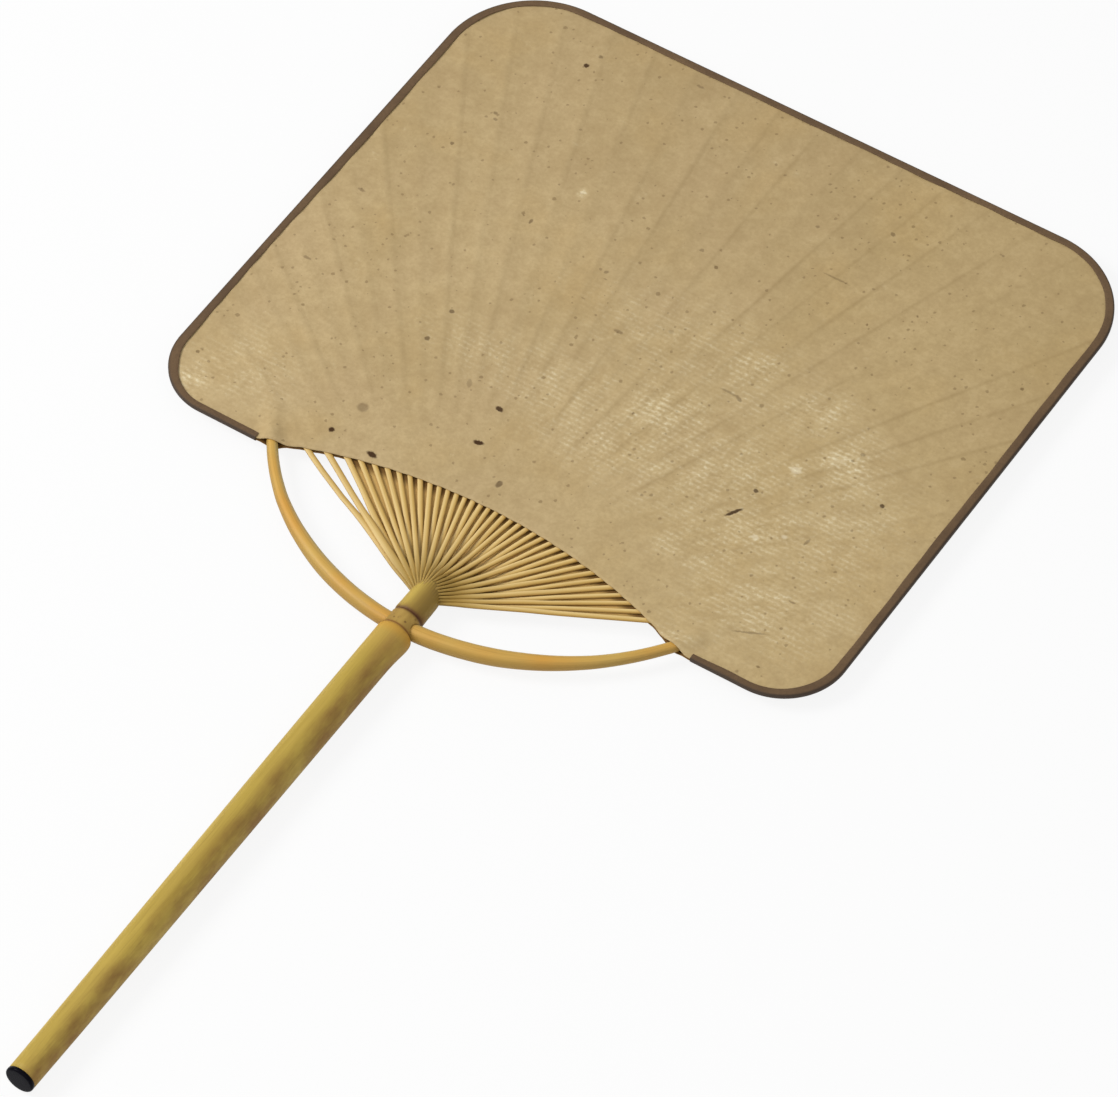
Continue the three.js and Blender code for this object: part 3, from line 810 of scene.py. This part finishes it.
# %% [markdown]
# The lacquered end: a stick fills the bore and its round head closes the butt. The head is a
# revolved profile with a soft edge, and its lacquer is glossy but for fine rubbed specks.

# %% Finish: black lacquer
lacquer_finish, shader, where = start_finish("black_lacquer", "where")
rub = noise(stretched(where, 900, 900, 900), 1.0, 5.0, 0.6)
colour = blend(ramp(rub, (0.5, 0), (0.8, 0.5)), (14, 13, 19), (34, 32, 42))
end_finish(shader, colour, ramp(rub, (0.3, 0.16), (0.75, 0.42)), 0.03, rub, 0.15)

# %% The handle's lacquered end
KNOB_RADIUS, KNOB_EDGE, STICK_RADIUS, STICK_END = 4.75, 0.68, 2.3, 60
profile = [(0.5, 0), (2.2, 0)]
profile += [(KNOB_RADIUS - KNOB_EDGE + KNOB_EDGE * math.sin(a), KNOB_EDGE - KNOB_EDGE * math.cos(a))
            for a in np.linspace(0, math.pi / 2, 9)]
profile += [(KNOB_RADIUS, BUTT), (STICK_RADIUS, BUTT), (STICK_RADIUS, STICK_END)]
points = [(r * math.sin(a), y, r * math.cos(a)) for r, y in profile for a in around]
plug = mesh_object("lacquered_end", place_all(points), turned_faces(), finish=lacquer_finish)
turn_outwards(plug)
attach(plug, "root")
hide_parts("handle_plug")
print("lacquered end has", len(plug.data.polygons), "faces")

# %% [markdown]
# Each sheet of paper is a fine grid whose columns run from its lower edge to its upper edge,
# so the grid itself has the sheet's outline. The sheet is a closed thin body: an outer face,
# an inner face and a rim. Over the tips of the bow it stands up in a soft ridge.

# %% Outlines of the sheets
PAPER_IN, PAPER_OUT, INSET = 0.56, 0.76, 0.23
FREE_MIDDLE, SHOULDER_X, SHOULDER_Y, BIND_END = 250.0, 64.5, 238.7, 79.5
PULL_X, PULL_Y = 71.0, 235.3
LOBE, LOBE_DROP, LOBE_GAP = 12.5, 0.45, 1.3
TENT_START, TENT_RUN, TENT_HEIGHT, TENT_HALF = BOW_EDGE - 3, 12.5, 1.72, 5
rise = FREE_MIDDLE - SHOULDER_Y
FREE_RADIUS = (SHOULDER_X**2 + rise**2) / (2 * rise)
FREE_Y = FREE_MIDDLE - FREE_RADIUS


def end_curve(x):
    """The front sheet's edge from its shoulder, past the bow's tip, to the edge strip."""
    t = np.linspace(0, 1, 30)
    ends = ((SHOULDER_X, PULL_X, BIND_END), (SHOULDER_Y, PULL_Y, HEAD_FOOT + INSET))
    xs, ys = (start * (1 - t)**2 + 2 * t * (1 - t) * pull + end * t**2 for start, pull, end in ends)
    return float(np.interp(x, xs, ys))


def corner_rise(x, radius):
    """How far a sheet's edge stands off the line through the centres of two corners."""
    past = max(0, abs(x) - (HEAD_HALF - radius))
    return math.sqrt(max(0, (radius - INSET)**2 - past**2))


def upper_edge(x):
    """Height of a sheet's upper edge."""
    return HEAD_TOP - TOP_CORNER + corner_rise(x, TOP_CORNER)


def lower_edge(x):
    """Height of the front sheet's lower edge."""
    reach = abs(x)
    if reach < SHOULDER_X:
        return FREE_Y + math.sqrt(FREE_RADIUS**2 - x**2)
    if reach < BIND_END:
        return end_curve(reach)
    return HEAD_FOOT + FOOT_CORNER - corner_rise(x, FOOT_CORNER)


def back_edge(x):
    """Height of the back sheet's lower edge, which dips round the neck between two ribs."""
    side = abs(angles[2] if x < 0 else angles[-1])
    slant = abs(x) / math.tan(side) + (LOBE_GAP / math.sin(side) if x > 0 else 0)
    return min(lower_edge(x), APEX + max(slant, math.sqrt(max(0, LOBE**2 - x**2))))


def back_drop(radius, angle):
    """How far the back sheet hangs down near the neck, where the ribs are still apart."""
    ring = math.pi / 2 * min(max(angle / angles[-1], -1), 1)
    lift = rib_lift(max(ROOT_RADIUS * math.cos(ring), LAP), max(radius, 2 * EXIT))
    return lift + LOBE_DROP * (1 - smooth(radius, LOBE, LAP_END))


def tent_height(x, y):
    """How far a sheet stands up over the nearer tip of the bow, whose nearest point is sought."""
    near_x = np.clip(np.abs(x), TENT_START, BOW_EDGE + TENT_RUN)
    for _ in range(6):
        slope = np.interp(near_x, tip_x, tip_slope)
        off_y = y - np.interp(near_x, tip_x, tip_y)
        step = ((np.abs(x) - near_x) + off_y * slope) / (1 + slope**2)
        near_x = np.clip(near_x + step, TENT_START, BOW_EDGE + TENT_RUN)
    away = np.hypot(np.abs(x) - near_x, y - np.interp(near_x, tip_x, tip_y))
    fade = np.cos(np.pi / 2 * np.clip((near_x - BOW_EDGE) / TENT_RUN, 0, 1))**2
    return TENT_HEIGHT * fade * np.cos(np.pi / 2 * np.clip(away / TENT_HALF, 0, 1))**2


tip_x = np.linspace(60, 90, 121)
tip_y = np.array([bow_y(x) for x in tip_x])
tip_slope = np.gradient(tip_y, tip_x)
print("free edge is an arc of radius", round(FREE_RADIUS, 1), "mm")

# %% Grid of a sheet
SHEET_ROWS, CORNER_COLUMNS, MIDDLE_COLUMNS, MIDDLE_HALF = 151, 26, 161, 96


def sheet_grid(name, low, face, drop):
    """A closed thin sheet on one face of the ribs, lifted over the bow and by a drop function."""
    half = HEAD_HALF - INSET
    left = -half + (half - MIDDLE_HALF) * (1 - np.cos(np.linspace(0, math.pi / 2, CORNER_COLUMNS)))
    middle = np.linspace(-MIDDLE_HALF, MIDDLE_HALF, MIDDLE_COLUMNS)[1:-1]
    xs = np.concatenate([left, middle, -left[::-1]])
    bottom = np.array([low(x) + 0.12 * math.sin(x * 0.9) * math.sin(x * 0.23) for x in xs])
    top = np.array([upper_edge(x) for x in xs])
    x = np.repeat(xs, SHEET_ROWS)
    y = (bottom[:, None] + (top - bottom)[:, None] * np.linspace(0, 1, SHEET_ROWS)).ravel()
    lift = tent_height(x, y) + drop(np.hypot(x, y - APEX), np.arctan2(x, y - APEX))
    points = np.concatenate([np.stack([x, y, face * (z + lift)], 1) for z in (PAPER_OUT, PAPER_IN)])
    count, columns, rows = len(x), len(xs), SHEET_ROWS
    outer = ring_faces(columns, rows, closed=False)
    inner = [tuple(i + count for i in reversed(f)) for f in outer]
    rim = list(range(rows)) + [i * rows + rows - 1 for i in range(1, columns)]
    rim += [(columns - 1) * rows + i for i in range(rows - 2, -1, -1)]
    rim += [i * rows for i in range(columns - 2, 0, -1)]
    sides = [(a, a + count, b + count, b) for a, b in zip(rim, rim[1:] + rim[:1])]
    return mesh_object(name, place_all(points), outer + inner + sides, inner=np.repeat([0.0, 1.0], count))


# %% [markdown]
# Pasted paper sinks a little between the ribs and stands up over each one. A second tree
# measures how far each point lies from the nearest rib, moves it by a soft curve of that
# distance and adds a slow cockle. It also keeps three values that the finish reads: the
# ridge, the signed distance beside the rib's line and the angle at which the rib runs.

# %% The tree that lays paper over ribs
paper_tree, given, result = new_tree("paper_over_ribs", [
    ("Ribs", "Object", None), ("Face", "Float", 1.0), ("Sag", "Float", 0.0002),
    ("Ridge Width", "Float", 0.003), ("Cockle", "Float", 0.0001), ("Seed", "Float", 1.0),
    ("Finish", "Material", None)])
lines = add(paper_tree, "GeometryNodeObjectInfo", {"Object": given["Ribs"]}).outputs["Geometry"]
near = add(paper_tree, "GeometryNodeProximity", {0: lines}, target_element="EDGES").outputs
away = maths("DIVIDE", near["Distance"], given["Ridge Width"])
ridge = maths("EXPONENT", times(away, away, -1.0))
spot = add(paper_tree, "GeometryNodeInputPosition").outputs[0]
slow = add(paper_tree, "ShaderNodeTexNoise", noise_dimensions="4D", inputs={
    "Vector": spot, "Scale": 28.0, "Detail": 2.0, "W": given["Seed"]}).outputs[0]
sink = times(maths("SUBTRACT", ridge, 1.0), given["Sag"])
cockle = times(maths("SUBTRACT", slow, 0.5), given["Cockle"])
offset = vector_of(0.0, 0.0, times(maths("ADD", sink, cockle), given["Face"]))
arm = vector_maths("SUBTRACT", near["Position"], tuple(place(0, APEX)))
arm_x, arm_y, _ = parts_of(arm)
gap_x, gap_y, _ = parts_of(vector_maths("SUBTRACT", spot, near["Position"]))
cross = maths("SUBTRACT", times(gap_x, arm_y), times(gap_y, arm_x))
beside = maths("DIVIDE", cross, vector_maths("LENGTH", arm))
lean = maths("ARCTAN2", arm_x, arm_y)
marked = given["Geometry"]
for label, value in (("ridge", ridge), ("beside", beside), ("lean", lean)):
    marked = add(paper_tree, "GeometryNodeStoreNamedAttribute", data_type="FLOAT", domain="POINT",
                 inputs={"Geometry": marked, "Name": label, "Value": value}).outputs[0]
laid = add(paper_tree, "GeometryNodeSetPosition", {"Geometry": marked, "Offset": offset}).outputs[0]
finish_tree(laid, given["Finish"], result)
print("paper tree has", len(paper_tree.nodes), "nodes")

# %% [markdown]
# The paper is handmade. Its mould left fine lines along its width, bark and straw left dark
# flecks of many sizes, and where the sheet was burnished over the ribs its lines carry a
# painted pale sheen, most of all on the right side and near the lower edge. Each rib also
# shows as a low ridge with a painted highlight on it and a faint line of painted shade beside
# it. Its crest is too narrow for the grid, so a bump makes it.

# %% Flecks and rubbed places
# The largest flecks of the front sheet: place, half length, half width, turn and depth.
FLECKS = [
    (-44.4, 248.1, 1.6, 0.85, -10, 0.95), (-60.4, 249.6, 0.85, 0.85, 0, 0.95),
    (-19.5, 269.9, 1.5, 0.75, 12, 0.95), (-21.5, 284.6, 1.2, 0.75, -15, 0.9),
    (-35.0, 288.3, 1.6, 0.7, -60, 0.25), (-57.2, 262.3, 1.6, 1.5, 0, 0.36),
    (-55.7, 309.8, 0.75, 0.7, 0, 0.6), (-56.1, 296.4, 0.75, 0.7, 0, 0.6), (-76.8, 420.0, 0.8, 0.75, 0, 0.9),
    (-74.8, 425.5, 0.65, 0.6, 0, 0.45), (-90.0, 386.8, 0.6, 0.55, 0, 0.45),
    (-88.5, 384.5, 0.65, 0.5, 0, 0.4), (-94.5, 368.5, 0.6, 0.55, 0, 0.5), (6.2, 339.9, 0.8, 0.7, 20, 0.2),
    (43.2, 411.9, 0.85, 0.6, -20, 0.45), (21.6, 401.8, 0.55, 0.5, 0, 0.35),
    (-3.8, 373.6, 0.65, 0.55, 0, 0.35), (-24.1, 349.7, 0.75, 0.55, 60, 0.4),
    (-55.5, 354.5, 0.5, 0.9, 0, 0.5), (61.0, 289.3, 2.6, 0.55, 59, 0.9), (-5.2, 259.5, 0.8, 1.2, 0, 0.6),
    (62.2, 300.0, 0.75, 0.65, 0, 0.75), (85.9, 291.4, 1.3, 0.4, 80, 0.4), (34.8, 328.9, 3.0, 0.4, 0, 0.3),
    (38.2, 328.4, 1.4, 0.55, -30, 0.4), (89.7, 252.3, 4.4, 0.35, 25, 0.35), (37.7, 386.5, 3.8, 0.3, 0, 0.3),
    (97.7, 315.9, 0.7, 0.6, 0, 0.8)]

# Where the front sheet is rubbed most and carries most painted sheen: place, half length,
# half width, turn and amount.
PATCHES = [
    (22, 312, 13, 11, 20, 1.0), (36, 341, 9, 7, 20, 0.85), (62, 336, 12, 8, 20, 0.8),
    (81, 325, 9, 11, 0, 1.0), (74, 288, 14, 9, 20, 0.9), (61, 274, 16, 9, 20, 0.75),
    (72, 238, 8, 4, 0, 0.6), (88, 264, 24, 16, 20, 0.65), (49, 300, 34, 20, 10, 0.65),
    (16, 293, 24, 12, 10, 0.65), (-12, 303, 24, 12, 0, 0.5), (-39, 302, 18, 9, 0, 0.4),
    (92, 300, 16, 26, 0, 0.6), (20, 336, 40, 18, 0, 0.4), (-108, 244, 5, 5, 0, 1.0),
    (-98, 256, 16, 14, 0, 0.45), (-48.5, 373.4, 1.2, 1.5, 0, 1.4), (68.2, 313.6, 2.8, 2.2, 0, 1.6),
    (71.6, 284.5, 2.1, 1.6, 0, 1.5), (79.0, 289.3, 2.0, 1.6, 0, 1.4)]

# Random flecks: scale, share, size, seed, depth and colour.
SCATTERED = [(430, 0.34, 0.2, 3.1, 0.5, (128, 104, 70)), (190, 0.3, 0.12, 0.0, 0.45, (108, 84, 50)),
             (95, 0.2, 0.065, 7.7, 0.55, (84, 58, 24))]


def scattered(vector, scale, share, size, seed):
    """Small dark flecks: a random few of the cells of a pattern."""
    tree = vector.id_data
    moved = add(tree, "ShaderNodeMapping", {"Vector": vector, "Location": (seed, seed * 1.7, 0)}).outputs[0]
    cells = add(tree, "ShaderNodeTexVoronoi", {"Vector": moved, "Scale": scale}).outputs
    pick = add(tree, "ShaderNodeSeparateColor", {"Color": cells["Color"]}).outputs
    chosen = ramp(pick[0], (1 - share - 0.01, 0), (1 - share, 1))
    past_rim = maths("SUBTRACT", cells["Distance"], times(pick[1], size))
    return times(chosen, step_up(past_rim, size * 0.45, 0.0))


def one_area(vector, x, y, long, wide, turn, outer, inner, amount):
    """A soft oval at a place in the maker's millimetres, fading between two shares of its size."""
    near_it = add(vector.id_data, "ShaderNodeMapping", {
        "Vector": vector, "Location": place(x, y, PAPER_OUT), "Rotation": (0, 0, math.radians(turn)),
        "Scale": (long * MM, wide * MM, 1)}, vector_type="TEXTURE").outputs[0]
    return step_up(vector_maths("LENGTH", near_it), outer, inner, amount)


def fleck_coats(colour, where, marks):
    """A colour with random flecks, straw and the marks of a list on it."""
    jitter = add(where.id_data, "ShaderNodeTexNoise", {"Vector": where, "Scale": 1300.0, "Detail": 2.0})
    ragged = vector_maths("ADD", where, vector_maths("SCALE", jitter.outputs["Color"], scale=0.0008))
    for scale, share, size, seed, depth, tint in SCATTERED:
        colour = blend(times(scattered(ragged, scale, share, size, seed), depth), colour, tint)
    straw = scattered(stretched(ragged, 60, 150, 150), 1.0, 0.14, 0.11, 5.3)
    colour = blend(times(straw, 0.5), colour, (112, 90, 62))
    if not marks:
        return colour
    shifted = vector_maths("SUBTRACT", ragged, (0.0004, 0.0004, 0.0004))
    marked = 0.0
    for *mark, depth in marks:
        marked = maths("MAXIMUM", marked, one_area(shifted, *mark, 1.5, 0.8, depth))
    return blend(marked, colour, (56, 28, 4))


print(len(FLECKS), "flecks and", len(PATCHES), "rubbed places")

# %% Finish: paper
LINE_SPACING = 0.002


def paper_finish(name, pale, tan, deep, shine, marks=(), patches=(), shade=0.0):
    """Handmade paper with laid lines, flecks, rib marks with painted highlight and shade, and burnished
    streaks with painted sheen.
    """
    material, shader, where, ridge, beside, lean, inner = start_finish(
        name, "where", "ridge", "beside", "lean", "inner")
    apex = tuple(place(0, APEX))
    x, y, _ = parts_of(where)
    out_from_neck = vector_maths("LENGTH", vector_maths("SUBTRACT", where, apex))
    grain, mottle = noise(where, 800, 3, 0.6), noise(where, 240, 4, 0.65)
    hue = noise(stretched(where, 38, 38, 38), 1.0, 3, 0.5)
    # Painted shade darkens the sheet towards the top and painted sheen lightens it towards the lower right;
    # it is also a little lighter and yellower towards the right.
    low_right = maths("MULTIPLY_ADD", x, 0.8, times(y, -1.0))
    colour = coats(
        blend(ramp(noise(where, 20, 4, 0.6), (0.35, 0), (0.65, 1)), tan, pale),
        (ramp(hue, (0.5, 0), (0.7, 0.25)), (178, 151, 113)),
        (step_up(y, 0.09, 0.2, 0.16), deep),
        (step_up(low_right, -0.06, 0.05, 0.55), pale),
        (ramp(hue, (0.3, 0.3), (0.5, 0)), (196, 164, 108)),
        (step_up(x, -0.02, 0.08, 0.3), (195, 170, 116)),
        (ramp(mottle, (0.4, 0), (0.75, 0.45)), deep),
        (ramp(grain, (0.4, 0), (0.75, 0.35)), deep),
        (ramp(mottle, (0.25, 0.4), (0.45, 0)), pale))

    # The ribs: a low crest with a painted highlight, and beside it a wide faint line and a fine
    # one that wanders, both painted shade of the ridge.
    on_rib = times(step_up(ridge, 0.55, 0.75), step_up(out_from_neck, 0.055, 0.1))
    strength = noise(vector_of(times(lean, 16.0), times(out_from_neck, 9.0)), 1.0, 3, 0.6)
    strength = times(ramp(strength, (0.4, 0.0), (0.64, 1)), on_rib)
    crest = times(bell(beside, 0.0, 0.0014), on_rib)
    wander = maths("MULTIPLY_ADD", noise(where, 90, 3), 0.0012, beside)
    fine = times(bell(wander, 0.0016, 0.0005), strength, step_up(x, -0.06, 0.02, 0.17),
                 step_up(lean, 0.8, 0.55))
    colour = coats(
        colour,
        (times(bell(beside, 0.0013, 0.0009), strength, 0.12), (140, 114, 72)),
        (fine, (136, 106, 56)),
        (times(crest, strength, 0.08), pale))

    # The mould's lines, broken into dashes, and islands of wear that run out with the ribs. Where
    # the paper is rubbed, the islands and the dashes carry painted sheen.
    waver = times(noise(where, 30, 2), 0.0016)
    line = maths("SINE", times(maths("ADD", y, waver), 2 * math.pi / LINE_SPACING))
    line = maths("MULTIPLY_ADD", line, 0.5, 0.5)
    dash = noise(stretched(where, 700, 900, 300), 1.0, 3, 0.6)
    weave = maths("MULTIPLY_ADD", line, 0.4, maths("MULTIPLY_ADD", dash, 2.2, -0.8))
    laid = ramp(weave, (0.5, 0), (0.95, 1))
    fan_angle = maths("ARCTAN2", x, maths("SUBTRACT", y, apex[1]))
    island = noise(vector_of(times(fan_angle, 20.0), times(out_from_neck, 75.0)), 1.0, 5, 0.65)
    rubbed_and_lit = add(where.id_data, "ShaderNodeValue").outputs[0]
    rubbed_and_lit.default_value = 0.0
    for *area, amount in patches:
        rubbed_and_lit = maths("MAXIMUM", rubbed_and_lit, one_area(where, *area, 1.9, 0.0, amount))
    wear_and_sheen = times(rubbed_and_lit, ramp(island, (0.4, 0.08), (0.62, 1)))
    burnish_and_sheen = maths("ADD", wear_and_sheen, step_up(island, 0.6, 0.8, 0.3))
    sheen_and_pale_spots = times(step_up(island, 0.56, 0.7, 0.6), step_up(rubbed_and_lit, 0.55, 1.1))
    sheen_and_pale_spots = maths("MAXIMUM", sheen_and_pale_spots, step_up(rubbed_and_lit, 1.0, 1.4, 0.65))
    colour = coats(
        colour,
        (times(burnish_and_sheen, shine * 0.75), (214, 192, 146)),
        (times(ramp(weave, (0.02, 1), (0.4, 0)), rubbed_and_lit, 0.6), deep),
        (sheen_and_pale_spots, (222, 206, 172)),
        (times(laid, burnish_and_sheen, shine * 0.85), (236, 224, 188)))
    colour = fleck_coats(colour, where, marks)

    # The back sheet's inner face is golden between the ribs, with a painted shadow just below
    # the front sheet's edge.
    if shade:
        from_arc = vector_maths("SUBTRACT", where, tuple(place(0, FREE_Y, -PAPER_IN)))
        past_edge = maths("SUBTRACT", vector_maths("LENGTH", from_arc), FREE_RADIUS * MM)
        colour = coats(
            colour,
            (times(inner, shade), (208, 170, 98)),
            (times(inner, step_up(past_edge, -0.0042, -0.0008, 0.85)), (96, 62, 22)))
    relief = times(crest, maths("MULTIPLY_ADD", strength, 0.3, 0.1))
    relief = maths("MULTIPLY_ADD", laid, times(burnish_and_sheen, 0.25), relief)
    relief = maths("MULTIPLY_ADD", grain, 0.12, relief)
    relief = maths("MULTIPLY_ADD", mottle, 0.35, relief)
    end_finish(shader, colour, maths("MULTIPLY_ADD", burnish_and_sheen, -0.25, 0.75), 0.2, relief, 0.6, 0.0003)
    return material


front_finish = paper_finish("tan_paper", (200, 176, 131), (187, 163, 118), (165, 139, 96),
                            1.0, FLECKS, PATCHES)
back_finish = paper_finish("back_tan_paper", (184, 154, 112), (170, 140, 98), (148, 118, 78),
                           0.3, shade=0.85)

# %% Sheets
front_base = sheet_grid("front_base", lower_edge, 1, lambda radius, angle: 0 * radius)
back_base = sheet_grid("back_base", back_edge, -1, np.vectorize(back_drop))
front = run_tree(paper_tree, front_base, "front_sheet", Ribs=rib_lines, Face=1.0, Sag=0.00022,
                 Ridge_Width=0.0032, Cockle=0.00016, Seed=2.0, Finish=front_finish)
rear = run_tree(paper_tree, back_base, "back_sheet", Ribs=rib_lines, Face=-1.0, Sag=0.0002,
                Ridge_Width=0.0032, Cockle=0.00016, Seed=7.0, Finish=back_finish)
for sheet, node, slot in ((front, "front_paper", "tan_paper"), (rear, "back_paper", "brown_paper")):
    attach(sheet, "root")
    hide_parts(node)

# %% [markdown]
# The edge strip is a ribbon of darker paper folded over the rim. Its path is the head's
# outline from one end to the other, and its section is a narrow hairpin. Its width varies a
# little, so that its cut edges don't look ruled.

# %% Finish: edge strip
edge_finish, shader, where, outward = start_finish("edge_strip_paper", "where", "u")
grain = noise(where, 1400, 3, 0.6)
colour = coats(
    blend(ramp(noise(where, 60, 4, 0.6), (0.3, 0), (0.7, 1)), (94, 70, 44), (114, 88, 58)),
    (ramp(grain, (0.4, 0), (0.75, 0.5)), (80, 60, 38)),
    (step_up(outward, -0.9, 0.0, 0.9), (56, 42, 30)))
end_finish(shader, colour, 0.75, 0.5, grain, 0.3)

# %% Edge strip
STRIP_LEFT, STRIP_RIGHT = 78.3, 79.9
OUT, IN, FOLD = 0.99, 0.79, 0.62


def corner_of(x, y, radius, start):
    """A way round a corner, a quarter turn from a start: points and outward directions."""
    turns = np.linspace(start, start + math.pi / 2, 26 if start < 0 else 32)
    return [((x + radius * math.cos(a), y + radius * math.sin(a)), (math.cos(a), math.sin(a))) for a in turns]


def edge_path():
    """Points and outward directions round the head, from the right end to the left end."""
    foot_x, foot_y = HEAD_HALF - FOOT_CORNER, HEAD_FOOT + FOOT_CORNER
    top_x, top_y = HEAD_HALF - TOP_CORNER, HEAD_TOP - TOP_CORNER
    path = [((x, HEAD_FOOT), (0, -1)) for x in np.arange(STRIP_RIGHT, foot_x, 1.5)]
    path += corner_of(foot_x, foot_y, FOOT_CORNER, -math.pi / 2)
    path += [((HEAD_HALF, y), (1, 0)) for y in np.arange(foot_y + 2, top_y - 1, 2)]
    path += corner_of(top_x, top_y, TOP_CORNER, 0)
    path += [((x, HEAD_TOP), (0, 1)) for x in np.arange(top_x - 2, 1, -2)]
    mirrored = [((-x, y), (-nx, ny)) for (x, y), (nx, ny) in path if y > HEAD_FOOT]
    left_foot = [((-x, HEAD_FOOT), (0, -1)) for x in np.arange(STRIP_LEFT, STRIP_RIGHT, 0.75)]
    return path + mirrored[::-1] + left_foot[::-1]


def strip_face(x, y, side):
    """How wide the strip's face is, as a share: least along the top and at its right end."""
    face = 0.9 + 0.08 * abs(side) + 0.04 * math.sin(x / 7 + y / 11) + 0.02 * math.sin(x / 2.3 - y / 3.1)
    if x < 0:
        face += 0.1 * abs(side) * math.sin((y - 330) / 25) * smooth(y, 262, 280)
        face += 0.16 * math.exp(-((y - HEAD_FOOT - 12) / 14)**2)
    less = 0.24 if x < 0 else 0.3 - 0.2 * smooth(abs(x), 78, 97)
    return face * (1 - less * (1 - smooth(y, HEAD_FOOT, HEAD_FOOT + 9)))


path = edge_path()
faces_at = np.array([strip_face(x, y, nx) for (x, y), (nx, _) in path])
spots = np.array([(x, y, 0) for (x, y), _ in path])
outs = np.array([(nx, ny, 0) for _, (nx, ny) in path], float)
edge_line = strip_lines("edge_line", [(spots, outs, faces_at, 1.0, 0.0, length_so_far(spots))])
fold = [(-3.0, OUT - 0.05), (-2.9, OUT), (-2.0, OUT), (-1.0, OUT)]
fold += [(FOLD * math.sin(a) - FOLD, OUT - FOLD + FOLD * math.cos(a)) for a in np.linspace(0, math.pi / 2, 7)]
hairpin = fold + [(u, -v) for u, v in fold[::-1]]
hairpin += [(-3.0, -IN), (-0.9, -IN), (-0.35, -IN + 0.35), (-0.35, IN - 0.35), (-0.9, IN), (-3.0, IN)]
edge_section = section_object("edge_section", hairpin)
strip = run_tree(sweep_tree, edge_line, "edge_strip", Section=edge_section, Wobble=0.0,
                 Grain_Length=0.01, Seed=3, Finish=edge_finish)
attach(strip, "root")
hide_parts("edge_binding")

# %% [markdown]
# The thread lies between the sheets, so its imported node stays. It still gets a twisted
# cotton finish: fine slanting lines on a pale undyed ground.

# %% Finish: thread
thread_finish, shader, where = start_finish("cotton_thread", "where")
ply = add(where.id_data, "ShaderNodeTexWave",
          {"Vector": stretched(where, 4000, 4000, 4000), "Scale": 1.0, "Distortion": 1.0}).outputs["Fac"]
fill(shader, {"Base Color": blend(ply, (214, 204, 178), (236, 228, 206)), "Roughness": 0.9})
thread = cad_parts["lacing_thread"]
thread.data.materials.clear()
thread.data.materials.append(thread_finish)
print("thread has", len(thread.data.polygons), "faces")

# %% [markdown]
# The helper lines, sections and flat grids have done their work. What is left are the finished
# pieces.

# %% Clear up and finish
for helper in (rib_lines, rib_section, bow_line, round_section, edge_line, edge_section,
               front_base, back_base):
    bpy.data.objects.remove(helper)
